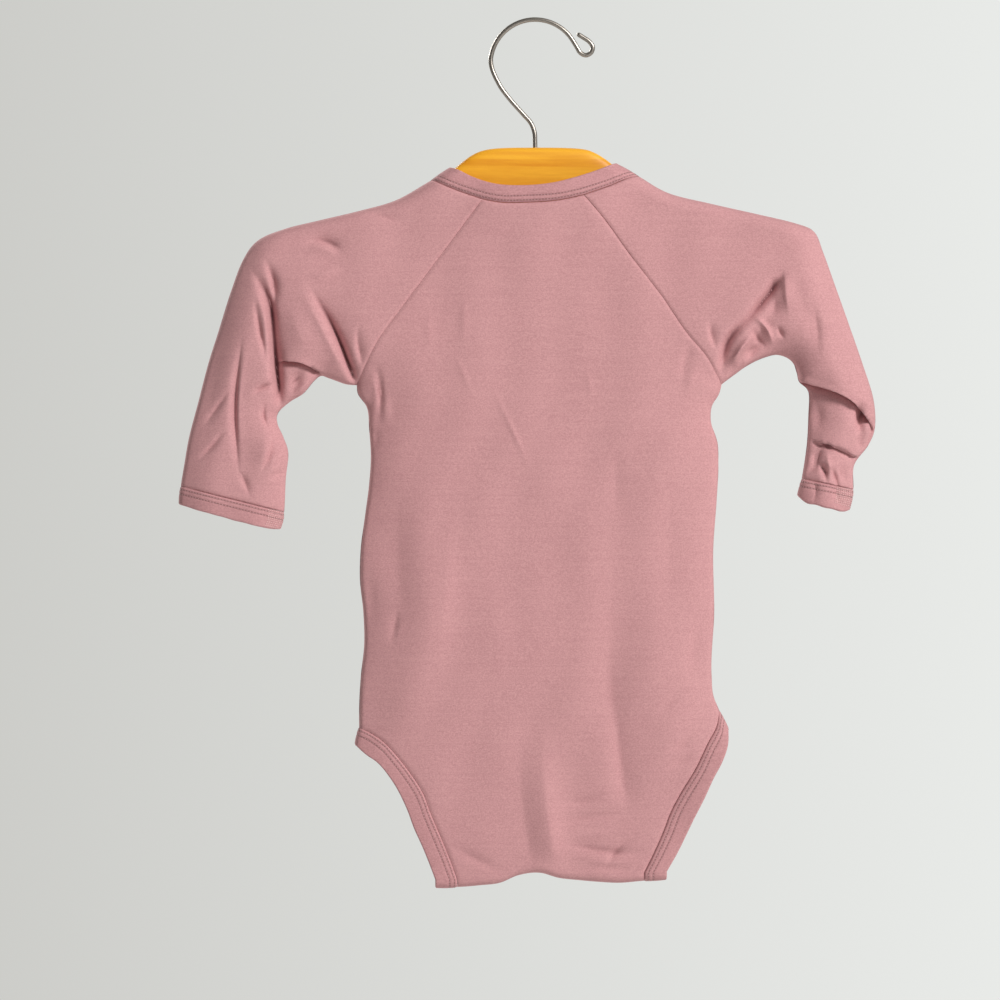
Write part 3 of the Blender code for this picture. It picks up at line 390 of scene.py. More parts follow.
# Creases on the back: each runs through three places, sinks (below 0) or stands (above 0) by a height in
# mm, and falls off within two widths to the right and to the left of its direction. Its peak is how far
# along it is strongest.
BACK_CREASES = table("x0 d0 x1 d1 x2 d2 right left height peak",
    # left sleeve
    (-171.5, 144, -158, 180, -153, 235.5, 3, 11, -4.2, 0.6),
    (-171, 146.5, -160, 165, -155.5, 195.5, 1.9, 2.6, -5.4, 0.55),
    (-159, 170.5, -155.5, 203, -152, 239, 2.3, 3.4, -9.4, 0.62),
    (-162, 141, -157, 154.5, -155, 173, 1.5, 2.8, -4, 0.55),
    (-168, 158.5, -161.5, 177.5, -158.5, 205.5, 1.8, 1.6, 2, 0.45),
    (-168, 164.5, -164.5, 185, -159.5, 209, 1.3, 1.4, -2.8, 0.5),
    (-148, 165.5, -141, 188, -134, 203, 7, 7, 1.2, 0.5),
    (-138.5, 152, -122.5, 180, -105, 224.5, 2.6, 8, -3.6, 0.55),
    (-137, 156.5, -121, 183.5, -104.5, 225, 1.9, 2.4, -6.4, 0.72),
    (-143.5, 155, -131, 177.5, -111, 218.5, 3, 3, 1.2, 0.55),
    (-139, 206.5, -143, 216, -148, 228, 5, 5, -5, 0.45),
    (-123, 212, -135.5, 219, -147.5, 230, 4, 4.5, 4.5, 0.5),
    (-174.5, 185, -179.5, 233, -176.5, 278, 2.4, 1.1, -3.4, 0.45),
    (-172, 191, -177, 233, -174, 269, 2.6, 2.6, 0.9, 0.5),
    (-179.5, 217.5, -189, 230, -200.5, 245.5, 1.6, 2.2, -1.6, 0.5),
    (-184, 243.5, -193, 254.5, -203.5, 264.5, 1.4, 1.8, -1.7, 0.5),
    (-154, 217.5, -162.5, 219.5, -170.5, 224.5, 1.6, 1.8, -3, 0.4),
    (-161, 227, -162.5, 236.5, -158, 246.5, 1.2, 1.8, -2.4, 0.5),
    (-158, 230, -156, 241.5, -149, 258, 2.4, 1.3, -3, 0.5),
    (-153.5, 246.5, -159, 260.5, -164.5, 272.5, 1.4, 3, -3, 0.45),
    (-149.5, 269.5, -155, 272, -161, 275, 1.6, 2, -1.8, 0.3),
    (-177, 269, -173, 277.5, -170, 287, 1.6, 2.2, -1.7, 0.4),
    (-141, 134.5, -128, 131.5, -113, 139.5, 2.2, 3.6, -2.4, 0.6),
    (-138.5, 139.5, -128, 137, -116, 141.5, 2.6, 2.6, 1, 0.5),
    (-110, 116, -94, 117, -78, 120, 1.6, 5.5, -2, 0.5),
    (-137, 152.5, -127, 152.5, -114.5, 147.5, 3, 3, 1.2, 0.5),
    (-105.5, 179, -106, 192, -102.5, 209, 1.6, 3, -2, 0.6),
    (-185.5, 167, -192.5, 215, -199, 269, 9, 9, -1.5, 0.5),
    (-152.5, 237.5, -157, 255.5, -155, 287, 8, 8, 1.8, 0.5),
    (-158, 224, -161.5, 251, -159, 281, 9, 9, 2.4, 0.5),
    (-173.5, 191, -178, 233, -176, 275, 2.5, 10, -1.6, 0.5),
    # right sleeve
    (148, 157.5, 137.5, 181.5, 121, 206.5, 7, 7, -3.2, 0.5),
    (152, 147, 139, 164.5, 122, 185, 2.2, 2.9, -6.6, 0.55),
    (133, 173, 115, 192.5, 110.5, 216, 2.2, 2.9, -6.6, 0.5),
    (134, 185, 124, 195, 113.5, 214.5, 1.9, 2.2, 4.6, 0.45),
    (137, 191, 129.5, 198, 122, 208.5, 3, 2.6, -3, 0.4),
    (129.5, 176, 137.5, 183.5, 143, 195.5, 1.6, 1.6, 3.2, 0.55),
    (128, 183, 133, 189.5, 140, 197.5, 2.4, 2, -2.6, 0.5),
    (143.5, 152.5, 141.5, 161, 138, 168.5, 2.2, 2.2, -2.4, 0.4),
    (143.5, 162, 143.5, 170.5, 142, 180, 4, 3.4, -1.8, 0.5),
    (149, 144, 149.5, 162, 152, 180, 2, 5, 2.2, 0.5),
    (144, 182, 146, 185.5, 149, 191.5, 1.6, 1.6, -2.2, 0.5),
    (128.5, 197, 126, 203, 123.5, 210.5, 1.6, 1.6, 2.2, 0.5),
    (121, 203, 117.5, 209, 114, 215.5, 1.7, 1.8, -2.6, 0.4),
    (104.5, 177.5, 105.5, 188.5, 109, 199.5, 1.6, 3, -2, 0.5),
    (165.5, 165.5, 168.5, 183.5, 169, 203, 5, 2.4, -1.8, 0.5),
    (146, 144, 162, 173, 166, 209, 9, 9, -1.4, 0.5),
    (132.5, 126, 149.5, 125.5, 162.5, 134.5, 7, 7, 1, 0.5),
    (173.5, 254.5, 168.5, 261.5, 168, 270.5, 1.9, 1.8, -3.2, 0.5),
    (167.5, 263, 173, 269, 174.5, 277.5, 1.7, 1.7, -3.6, 0.5),
    (176.5, 266, 179.5, 273, 182, 281, 1.6, 1.7, -2.8, 0.5),
    (174.5, 257, 175, 263.5, 178, 271.5, 2.2, 2.2, 1.6, 0.5),
    (162, 272, 165.5, 268.5, 170, 264, 1.5, 1.5, -2, 0.5),
    (186.5, 264, 184, 270.5, 187, 278.5, 2.4, 3, -2, 0.5),
    (165.5, 224.5, 170, 235.5, 168, 247.5, 5, 3, -1.8, 0.5),
    (201.5, 235.5, 201, 248.5, 191, 262.5, 1.7, 1.7, -6, 0.45),
    (195.5, 227, 194, 239, 195.5, 251, 2.4, 2.4, -6, 0.25),
    (197, 245.5, 194.5, 251.5, 195, 258.5, 1.5, 1.6, -3.2, 0.5),
    (197.5, 234, 198.5, 242.5, 197.5, 252, 1.6, 1.6, 2.6, 0.5),
    (203.5, 231.5, 205, 245, 196, 261.5, 2, 2, 2.4, 0.5),
    (164.5, 227, 165.5, 235.5, 165, 243.5, 2, 2, -1.2, 0.5),
    (166, 272.5, 168, 281, 166, 290, 2, 2, -1.4, 0.4),
    (181, 273.5, 180, 282.5, 183, 291.5, 2, 2.4, -1.6, 0.5),
    (189.5, 276, 188.5, 285, 186.5, 292.5, 2, 2, 1.2, 0.5),
    # body, from the underarms down
    (-96, 202.5, -92.5, 218.5, -94, 245, 2.4, 1.3, -2.29, 0.45),
    (-98.5, 206.5, -95, 222, -96, 242.5, 1.8, 1.8, 1.22, 0.5),
    (-94, 245, -96, 254.5, -97, 264, 2.4, 1.6, -0.94, 0.2),
    (-98.5, 225, -99.5, 231.5, -101, 239.5, 1.2, 1.2, -1.35, 0.5),
    (-88, 219.5, -89, 231.5, -87.5, 245, 4, 2.5, 0.94, 0.5),
    (94, 189, 89.5, 204, 86.5, 222, 1.8, 3.2, -1.08, 0.4),
    (100, 200.5, 93.5, 213.5, 89, 228, 3, 3, 0.81, 0.5),
    (112, 217.5, 107.5, 225.5, 104.5, 233, 1.6, 1.6, -1.22, 0.5),
    (109, 251, 110.5, 259.5, 110, 269, 1.5, 3, -1.22, 0.5),
    (-48.5, 198, -42.5, 212, -36.5, 226.5, 1.3, 1.3, 0.57, 0.5),
    (-29.5, 213, -15, 242, -1, 272.5, 1.2, 1.2, 0.68, 0.6),
    (-63.5, 170.5, -63.5, 185, -63.5, 199.5, 2.2, 2.2, 0.47, 0.5),
    (-42.5, 161.5, -42.5, 179, -42.5, 198.5, 2.4, 2.4, 0.47, 0.5),
    (30.5, 207, 32.5, 218, 33.5, 229.5, 1.5, 1.5, 0.47, 0.5),
    (-51.5, 271.5, -51.5, 311, -60.5, 405.5, 6, 6, 0.81, 0.5),
    (48.5, 246.5, 48.5, 275, 48.5, 303, 5, 5, -0.81, 0.5),
    (42.5, 365, 47.5, 407, 56.5, 480, 6, 7, -2.16, 0.75),
    (6, 395, 5, 449, 12, 509.5, 9, 8, 2.7, 0.85),
    (-9, 407, -8, 461, -1, 511.5, 6, 7, -1.22, 0.8),
    (12.5, 469.5, 29, 467.5, 44.5, 462.5, 1.8, 3, -1.22, 0.5),
    (8, 482, 34, 477, 62, 474, 1.6, 2.6, -1.1, 0.5),
    (14, 487, 40, 486.5, 70, 480, 2.2, 2.2, 0.6, 0.5),
    (10, 491, 41.5, 497, 72, 499, 1.8, 2.4, -1.5, 0.5),
    (18, 499, 44, 504, 68, 503, 2.2, 2.2, 0.8, 0.5),
    (58, 488, 50, 496, 40, 509, 1.8, 2.6, -1.2, 0.5),
    (96, 425, 88, 433, 76, 438, 2, 2.4, -1.1, 0.5),
    (77.5, 448.5, 87, 443.5, 96.5, 438, 2.4, 2.4, -0.94, 0.5),
    (71, 417.5, 80.5, 408, 90, 398.5, 2.8, 2.8, -0.94, 0.5),
    (-81.5, 349.5, -83.5, 362.5, -86.5, 375.5, 2.8, 1.5, -1.22, 0.5),
    (-55, 492.5, -36, 501.5, -15.5, 512, 3.2, 3.2, -1.22, 0.5),
    (24, 513.5, 39, 507.5, 63, 510, 2, 2, -0.81, 0.5),
    (77.5, 245, 80, 317, 77.5, 387.5, 15, 13, -1.95, 0.5),
    (-81, 269, -82, 323, -76, 383, 11, 13, -1.75, 0.5),
    (99, 347, 95.5, 371, 93, 401, 4, 6, -1.08, 0.6),
    (-101.5, 323, -98, 347, -99, 371, 5, 5, -0.94, 0.5),
    (-60, 300, -62, 350, -68, 400, 16, 16, 1.62, 0.5),
    (48, 280, 46, 400, 55, 485, 14, 14, -1.89, 0.5),
    (-29.5, 323, -21, 371, -23, 425, 12, 12, 0.94, 0.5))

# Laps on the back, where the cloth stands up on one side, folds over and goes under: the side to the left
# of the direction from the first place to the last lies under.
BACK_LAPS = table("x0 d0 x1 d1 x2 d2 up down reach over peak",
    (-125.5, 212, -140.5, 204.5, -155, 203.5, 0.8, 8, 5, 1.1, 0.5),
    (205, 248.5, 194, 231.5, 145, 211.5, 3.2, 8.6, 10, 1.4, 0.42),
    (196, 263, 180.5, 255, 164, 251, 1, 4.4, 4, 0.8, 0.5))

# The back's seams and the free edges of its bindings, left and right, and which way it faces along y.
BACK = {
    "side": "back",
    "facing": -1,
    "creases": BACK_CREASES,
    "laps": BACK_LAPS,
    "raglans": (
        table("x drop", (-31.5, 107.3), (-54, 137.5), (-76, 167), (-95, 193.5), (-107, 218)),
        table("x drop",
            (29, 104.8), (40, 117.5), (56, 139.5), (76, 165.5), (91, 187.5), (102.5, 201), (112, 217.5))),
    "necks": (
        table("x drop", (-31.5, 107.3), (-39, 104.8), (-51, 100.3), (-62.5, 95.2)),
        table("x drop", (-31.5, 107.3), (-23, 109), (-4, 109.3), (15, 107.8), (29, 104.8)),
        table("x drop", (29, 104.8), (46, 98.7), (55.5, 94.6), (62, 92.5))),
    "neck_edge": table("x drop",
        (-51, 87.5), (-47, 89), (-38, 93.5), (-24, 98), (-7, 99), (10, 97.5), (27.5, 93), (39, 89),
        (48.5, 85)),
    "legs": (
        table("x drop",
            (-105.5, 423), (-98, 426.5), (-90, 432), (-82.5, 440), (-75, 449.5), (-67, 462), (-62, 475),
            (-56.5, 488), (-51, 501.5), (-46.5, 514)),
        table("x drop",
            (110.5, 413), (109, 421.5), (103, 433), (96, 447.5), (87, 462.5), (81.5, 473), (76.5, 486),
            (71, 498.5), (65.2, 510.4))),
    "leg_edges": (
        table("x drop",
            (-108, 433.5), (-101, 439.5), (-95, 443.5), (-86.5, 453.5), (-76.5, 472.5), (-72.5, 483.5),
            (-68, 493.5), (-63.5, 504.5), (-59.8, 514.3)),
        table("x drop",
            (116, 424), (115.5, 433), (112, 443.5), (107, 453), (101.5, 465), (94.5, 479), (90.5, 487.5),
            (85.5, 498), (79, 509.5))),
}
SIDES = (
    table("x drop",
        (-107, 218), (-106.5, 222.5), (-101, 231), (-99.5, 244.5), (-98.5, 260.5), (-99.5, 277),
        (-102, 296.5), (-104.5, 315.5), (-105, 335), (-103, 354), (-102.5, 373.5), (-104.5, 392.5),
        (-105.5, 411.5), (-105.5, 423)),
    table("x drop",
        (112, 217.5), (110.5, 223), (106, 231), (105.5, 239), (109.5, 252.5), (110, 266), (109, 287),
        (107, 315.5), (107.5, 354), (106, 392.5), (107, 404), (110.5, 413)))
CROTCH_FOLD = table("x drop",
    (-58, 519.3), (-45, 519), (-33, 518), (-21, 516.5), (-10, 512), (3, 510.5), (14, 513.5), (27, 515),
    (39, 516), (51, 516.5), (63, 515.5), (77, 514.5))

# Each sleeve's top and underside fold from the body to the cuff's edge, and how deep a layer hangs.
SLEEVES = (
    table("top_x top_drop under_x under_drop",
        (-62.5, 95.2, -107, 218), (-83.5, 107, -113, 217.5), (-105, 113.3, -119, 215.5),
        (-129, 119, -124, 213.7), (-150, 124.2, -128.5, 212.5), (-166, 131, -133, 216),
        (-175, 142.5, -139, 223), (-182.5, 162, -147, 228), (-190, 186, -154, 234.5),
        (-196, 205, -154.5, 241), (-202, 228, -151, 249), (-207.5, 249, -148, 259),
        (-210.5, 266, -149.5, 274), (-212.5, 278.5, -150.5, 294), (-213.5, 289.5, -153, 304.5)),
    table("top_x top_drop under_x under_drop",
        (62, 92.5, 112, 217.5), (80, 102.7, 115.5, 214.8), (105, 109, 120, 211.5),
        (133, 115.3, 125.5, 207.5), (156, 120.8, 132, 203.8), (167.5, 126, 139, 201),
        (173, 138.5, 145, 199.8), (180, 158, 151, 201.5), (188, 180.5, 155, 205), (196.5, 205, 157, 210.5),
        (203, 226, 158.5, 216), (204, 243, 164, 222), (200, 254, 164, 236), (191.5, 266, 163, 254),
        (191, 280.5, 160, 274), (188.5, 293, 157.5, 284.5)))
BODY_DEPTH = table("drop back front",
    (80, 9.2, 9), (120, 10.4, 10.2), (165, 12, 12), (220, 12.5, 12.8), (300, 12, 13.3), (400, 11, 12.8),
    (460, 8, 10), (490, 6, 7.6), (505, 5, 7.4), (530, 5, 7.4))
SLEEVE_DEPTH = table("drop both",
    (90, 9), (125, 9.5), (165, 12.5), (215, 12.8), (245, 11), (290, 10), (310, 10))


def smoothstep(value, low, high):
    """0 below low, 1 above high and a smooth rise between them."""
    q = np.clip((value - low) / (high - low), 0, 1)
    return q * q * (3 - 2 * q)


def length(points):
    """Length of a polyline."""
    return np.hypot(*np.diff(points, axis=0).T).sum()


def along(rows, fractions):
    """Points at these fractions of the length of the smooth curve through a table's rows."""
    points = points_of(rows)
    return spline(length_knots(points), points, fractions)


def dense(rows, step=3.0):
    """The smooth curve through a table's rows, as a close polyline."""
    return along(rows, np.linspace(0, 1, int(length(points_of(rows)) / step) + 2))


def sleeve_fold(sleeve, edge):
    """The top or the underside fold of a sleeve, twelve places to a section."""
    points = points_of(sleeve, edge)
    sections = np.arange(len(points), dtype=float)
    return spline(sections, points, np.linspace(0, sections[-1], 12 * (len(points) - 1) + 1))


def seams_of(panel):
    """Every seam of a panel as a close polyline, and the straight seams between sleeves and cuffs."""
    cuffs = [np.array([points_of(sleeve, edge)[-2] for edge in ("top_", "under_")]) for sleeve in SLEEVES]
    return [dense(rows) for part in ("raglans", "necks", "legs") for rows in panel[part]] + cuffs


BACK["seams"] = seams_of(BACK)
TOP_FOLDS = [np.concatenate([points_of(BACK["neck_edge"])[[end]], sleeve_fold(sleeve, "top_")])
             for end, sleeve in zip((0, -1), SLEEVES)]
SIDE_FOLDS = [np.concatenate([sleeve_fold(sleeve, "under_")[:0:-1], dense(side), points_of(leg_edge)[:1]])
              for sleeve, side, leg_edge in zip(SLEEVES, SIDES, BACK["leg_edges"])]


def nearest(line, x, drop):
    """For each point: its distance to a polyline, how far along the nearest place is, from 0 to 1, the
    unit vector there to the left of the line's direction as drawn, and whether the point is on the left."""
    best = np.full(x.shape, np.inf)
    place, left_x, left_drop = (np.zeros(x.shape) for _ in range(3))
    on_left = np.zeros(x.shape, bool)
    knots = length_knots(line)
    for start, end, low, high in zip(line, line[1:], knots, knots[1:]):
        run = end - start
        heading = run / np.hypot(*run)
        from_x, from_drop = x - start[0], drop - start[1]
        q = np.clip((from_x * run[0] + from_drop * run[1]) / (run @ run), 0, 1)
        distance = np.hypot(from_x - q * run[0], from_drop - q * run[1])
        closer = distance < best
        best[closer] = distance[closer]
        place[closer] = (low + q * (high - low))[closer]
        left_x[closer], left_drop[closer] = heading[1], -heading[0]
        on_left[closer] = (from_x * heading[1] - from_drop * heading[0] > 0)[closer]
    return best, place, left_x, left_drop, on_left


def from_lines(lines, x, drop):
    """Distance to the nearest of some polylines."""
    best = np.full(x.shape, np.inf)
    for start, end in (step for line in lines for step in zip(line, line[1:])):
        run = end - start
        from_x, from_drop = x - start[0], drop - start[1]
        q = np.clip((from_x * run[0] + from_drop * run[1]) / (run @ run), 0, 1)
        np.minimum(best, (from_x - q * run[0]) ** 2 + (from_drop - q * run[1]) ** 2, out=best)
    return np.sqrt(best)


def slow_rise(distance, reach):
    """0 at no distance, rising as a parabola that levels out to 1 at the reach."""
    return 1 - (1 - np.clip(distance / reach, 0, 1)) ** 2


def quarter_ellipse(distance, reach):
    """0 at no distance, rising steeply and then levelling out to 1 at the reach."""
    return np.sqrt(slow_rise(distance, reach))


def layer_depth(x, drop, side):
    """Full depth of a layer: the body's and the sleeves' tables, blended by distance from the middle, and
    a bell of slack round the neck."""
    body = spline(BODY_DEPTH["drop"], BODY_DEPTH[side], drop)
    ends = SLEEVE_DEPTH["drop"][[0, -1]]
    sleeve = spline(SLEEVE_DEPTH["drop"], SLEEVE_DEPTH["both"], np.clip(drop, *ends))
    share = smoothstep(np.abs(x), *SLEEVE_START)
    off_x, off_drop = ((value - centre) / reach for value, centre, reach
                       in zip((x, drop), NECK_SLACK_CENTRE, NECK_SLACK_REACH))
    return body * (1 - share) + sleeve * share + NECK_SLACK * np.exp(-off_x ** 2 - off_drop ** 2)


def folds_near(folds, x, drop, reaches):
    """For each crease or lap of a table: its values by name, which points lie in the box round it grown by
    its reach, and what nearest() says of those. Its line is the smooth curve through its three places, in
    twelve steps."""
    for values, reach in zip(zip(*folds.values()), reaches):
        fold = dict(zip(folds, values))
        places = np.array([(fold["x0"], fold["d0"]), (fold["x1"], fold["d1"]), (fold["x2"], fold["d2"])])
        line = spline(length_knots(places), places, np.linspace(0, 1, 13))
        low, high = line.min(axis=0) - reach, line.max(axis=0) + reach
        near = (x > low[0]) & (x < high[0]) & (drop > low[1]) & (drop < high[1])
        if near.any():
            yield fold, near, nearest(line, x[near], drop[near])


def fading(place, peak, full=1.0):
    """How strong a fold is along its line: 0 at both ends, rising smoothly to 1 at its peak, or already
    when it is this full share of the way there."""
    return smoothstep(np.minimum(place / peak, (1 - place) / (1 - peak)), 0, full)


def creased(x, drop, creases):
    """Sum of the creases: across each one exp(-(distance/width)^1.5), with a width for either side."""
    total = np.zeros(x.shape)
    reaches = 3 * np.maximum(creases["left"], creases["right"])
    for crease, near, found in folds_near(creases, x, drop, reaches):
        distance, place, _, _, on_left = found
        width = np.where(on_left, crease["left"], crease["right"])
        total[near] += crease["height"] * fading(place, crease["peak"]) * np.exp(-(distance / width) ** 1.5)
    return total


def lapped(x, drop, laps):
    """Rise of the cloth at the laps and its sideways shift, t mm from a lap's line, below it where t > 0.

    Above, the rise is up exp(-(t/(2 reach))^2). Below it is -down times 0.4 exp(-t/reach) plus 0.6
    exp(-(t/groove)^2): the cloth drops into a groove and comes up slowly. A lip joins the two.
    The shift is -1.5 over sin(pi t/w) within w = 2.5 over of the line, so the cloth runs back under itself.
    """
    rise, shift_x, shift_drop = (np.zeros(x.shape) for _ in range(3))
    for lap, near, found in folds_near(laps, x, drop, 5 * laps["reach"]):
        distance, place, left_x, left_drop, on_left = found
        t = np.where(on_left, distance, -distance)
        strength = fading(place, lap["peak"], LAP_FULL)
        lip = 0.9 * lap["over"]
        above = lap["up"] * np.exp(-(t / lap["reach"] / 2) ** 2)
        slow, groove = np.exp(-np.maximum(t, 0) / lap["reach"]), np.exp(-(t / LAP_GROOVE) ** 2)
        share = smoothstep(t, -lip, lip)
        rise[near] += strength * (above * (1 - share) - lap["down"] * (0.4 * slow + 0.6 * groove) * share)
        back = -1.5 * lap["over"] * strength * np.sin(np.pi * np.clip(t / (2.5 * lap["over"]), -1, 1))
        shift_x[near] += back * left_x
        shift_drop[near] += back * left_drop
    return rise, shift_x, shift_drop


def waves(x, drop):
    """Slight unevenness: a sum of sines, most of them long from top to bottom and 30 to 120 mm wide. The
    angle of each grows by so much a mm along x and along the drop, and a slower sine bends it."""
    total = np.zeros(x.shape)
    for along_x, along_drop, start in WAVE_SINES:
        total += np.sin(along_x * x + along_drop * drop + start + 1.3 * np.sin(0.04 * drop + start))
    return WAVES * total


def lay(x, drop, panel):
    """Points of the outer face of a layer, in mm: x, y and z.

    The height is a tight fold at the outline, plus the rest of the depth times how far the layer has
    risen from the folds at the top and at the sides, plus creases, laps and waves that fade out at the
    outline, less a narrow bell along every seam. Laps also shift points sideways.
    """
    rise, shift_x, shift_drop = lapped(x, drop, panel["laps"])
    relief = creased(x, drop, panel["creases"]) + waves(x, drop)
    from_top, from_side = (np.maximum(from_lines(folds, x, drop) - FOLD_SLACK, 0)
                           for folds in (TOP_FOLDS, SIDE_FOLDS))
    reach = BODY_RISE + (SLEEVE_RISE - BODY_RISE) * smoothstep(np.abs(x), *SLEEVE_START)
    past_bar = smoothstep(np.abs(x), *BAR_WRAP_END)
    top_rise = quarter_ellipse(from_top, BAR_ROUND) * (1 - past_bar) + slow_rise(from_top, reach) * past_bar
    depth = layer_depth(x, drop, panel["side"]) - FOLD_HEIGHT
    seam = from_lines(panel["seams"], x, drop)
    dip = SEAM_DIP * np.exp(-(seam / SEAM_WIDTH) ** 2) + SEAM_PULL * np.exp(-(seam / SEAM_PULL_WIDTH) ** 2)
    outline = np.minimum(from_top, from_side)
    calm = quarter_ellipse(outline, LAP_CALM)
    height = (FOLD_HEIGHT * quarter_ellipse(outline, FOLD_ROUND)
              + depth * top_rise * slow_rise(from_side, reach)
              + (relief - dip) * quarter_ellipse(outline, BAR_ROUND) + rise * calm)
    return np.stack([x + shift_x * calm, panel["facing"] * height, -drop - shift_drop * calm], axis=-1)


def crotch_runs():
    """How far down the cloth each row past the start of the crotch turn is: round it, then up the tab."""
    half_turn = np.pi * CROTCH_RADIUS
    return np.concatenate([np.linspace(0, half_turn, CROTCH_STEPS + 1),
                           half_turn + np.linspace(0, TAB_LENGTH, TAB_STEPS + 1)[1:]])


def crotch_turn(x):
    """The drop at which the cloth starts to turn under."""
    return spline(CROTCH_FOLD["x"], CROTCH_FOLD["drop"], x) - CROTCH_RADIUS


def lay_round_crotch(x, run):
    """Points of the back layer, where run goes on down the cloth past the fold and up the front: above
    the fold run is the drop, round it a half circle in y and drop, and then straight up."""
    turn_drop = crotch_turn(x)
    over = run - turn_drop
    points = lay(x, np.minimum(run, turn_drop), BACK)
    angle = np.clip(over / CROTCH_RADIUS, 0, np.pi)
    past = np.maximum(over - np.pi * CROTCH_RADIUS, 0)
    round_y = points[..., 1] * np.cos(angle / 2) ** 2 + CROTCH_RADIUS * np.sin(angle / 2) ** 2
    round_z = -(turn_drop + CROTCH_RADIUS * np.sin(angle) - past)
    turned = over > 0
    points[..., 1] = np.where(turned, round_y, points[..., 1])
    points[..., 2] = np.where(turned, round_z, points[..., 2])
    return points


def turn_steps(span):
    """Places along a span from 0, within BAR_ROUND of its start: those of a quarter circle's equal angles."""
    return BAR_ROUND / span * (1 - np.cos(np.linspace(0, np.pi / 2, TURN_STEPS + 1)))


def start_fractions(span, flat_steps):
    """Places from 0 to 1 along a span, close together within BAR_ROUND of its start only."""
    turn = turn_steps(span)
    return np.concatenate([turn[:-1], np.linspace(turn[-1], 1, flat_steps + 1)])


def turn_fractions(span, flat_steps, corner=None):
    """Places from 0 to 1 across a span, close together within BAR_ROUND of both ends. flat_steps are the
    steps between the turns, before and after a corner at that fraction where one is given. Across a narrow
    span the corner moves in, so that the steps after it keep at least half of an even share."""
    turn = turn_steps(span)
    low, high = turn[-1], 1 - turn[-1]
    if corner is None:
        flat = np.linspace(low, high, flat_steps + 1)
    else:
        corner = min(corner, high - (high - low) * flat_steps[1] / sum(flat_steps) / 2)
        flat = np.concatenate([np.linspace(low, corner, flat_steps[0] + 1),
                               np.linspace(corner, high, flat_steps[1] + 1)[1:]])
    return np.concatenate([turn[:-1], flat, (1 - turn[:-1])[::-1]])


def leg_points(rows, steps):
    """Points along a leg seam or a binding's edge, close together at the side corner."""
    return along(rows, start_fractions(length(points_of(rows)), steps - TURN_STEPS))


def panel_grid(panel, rows, steps):
    """x and drop of a panel: straight rows between its two edges, from the neck down. The first follows
    the neck seam and the rows below it straighten towards the underarm. rows are those beside the raglan
    seam, the side and the leg."""
    edges = []
    for raglan, side, leg, inward in zip(panel["raglans"], SIDES, panel["legs"], (-GAP, GAP)):
        seam = along(raglan, np.linspace(0, 1, rows[0] + 1))
        run = unit(np.gradient(seam, axis=0))
        seam += inward * np.column_stack([-run[:, 1], run[:, 0]])
        edges.append(np.concatenate([seam, along(side, np.linspace(0, 1, rows[1] + 1))[1:],
                                     leg_points(leg, rows[2])[1:]]))
    left, right = edges
    share = np.array([turn_fractions(width, steps) for width in np.hypot(*(right - left).T)])[..., None]
    grid = left[:, None] * (1 - share) + right[:, None] * share
    neck = panel["necks"][1]
    top = along(neck, turn_fractions(length(points_of(neck)), steps))
    top += (left[0] - top[0]) * (1 - share[0]) + (right[0] - top[-1]) * share[0]
    below = length_knots(left[:rows[0] + 1])
    grid[:rows[0] + 1] += ((1 - below) ** 2)[:, None, None] * (top - grid[0])
    return grid


def cloth_normals(grid, ring, reference, facing):
    """Unit normals of a grid of points: across the cross product of its rows and columns. In the
    reference column their y has the sign of facing. Also whether they had to be turned over for that."""
    down = np.gradient(grid, axis=0)
    across = np.roll(grid, -1, axis=1) - np.roll(grid, 1, axis=1) if ring else np.gradient(grid, axis=1)
    normals = unit(np.cross(across, down))
    flip = normals[:, reference, 1].mean() * facing < 0
    return (-normals if flip else normals), flip


def hollows(grid, normals, ring):
    """How far each point of a grid lies below the mean of its neighbours, HOLLOW_REACH steps to each side
    along rows and columns, measured along its normal and evened out over the nearest steps. The jersey paints
    shade by it."""
    mean = grid
    for axis in (0, 1):
        pad = [(HOLLOW_REACH, HOLLOW_REACH) if direction == axis else (0, 0) for direction in range(3)]
        padded = np.pad(mean, pad, mode="wrap" if ring and axis == 1 else "edge")
        starts = range(2 * HOLLOW_REACH + 1)
        mean = sum(np.take(padded, np.arange(start, start + grid.shape[axis]), axis=axis)
                   for start in starts) / len(starts)
    depth = np.clip(((mean - grid) * normals).sum(axis=-1), 0, None)
    for axis in (0, 1):
        depth = (np.roll(depth, 1, axis) + 2 * depth + np.roll(depth, -1, axis)) / 4
    return depth


def rim_faces(outer, inner, flip):
    """Faces between an edge of the outer face and one of the inner face with half its steps: each has
    two outer steps and one inner one."""
    faces = np.stack([outer[:-2:2], outer[1:-1:2], outer[2::2], inner[1:], inner[:-1]], axis=1)
    return (faces[:, ::-1] if flip else faces).tolist()


def shell(name, outer, inner, ring, flip, material, **maps):
    """A closed shell of cloth between an outer grid of points and every second row and column of an inner
    one: both faces, and the rims that join them."""
    inner = inner[::2, ::2]
    numbers = np.arange(outer[..., 0].size).reshape(outer.shape[:2])
    inner_numbers = np.arange(inner[..., 0].size).reshape(inner.shape[:2]) + numbers.size
    if ring:
        numbers, inner_numbers = ring_of(numbers), ring_of(inner_numbers)
    faces, inner_faces = quads(numbers), quads(inner_numbers)
    faces = (faces[:, ::-1] if flip else faces).tolist()
    faces += (inner_faces if flip else inner_faces[:, ::-1]).tolist()
    faces += rim_faces(numbers[0], inner_numbers[0], not flip)
    faces += rim_faces(numbers[-1], inner_numbers[-1], flip)
    if not ring:
        faces += rim_faces(numbers[:, 0], inner_numbers[:, 0], flip)
        faces += rim_faces(numbers[:, -1], inner_numbers[:, -1], not flip)
    points = np.concatenate([outer.reshape(-1, 3), inner.reshape(-1, 3)])
    return make_piece(name, points, faces, material, **maps)


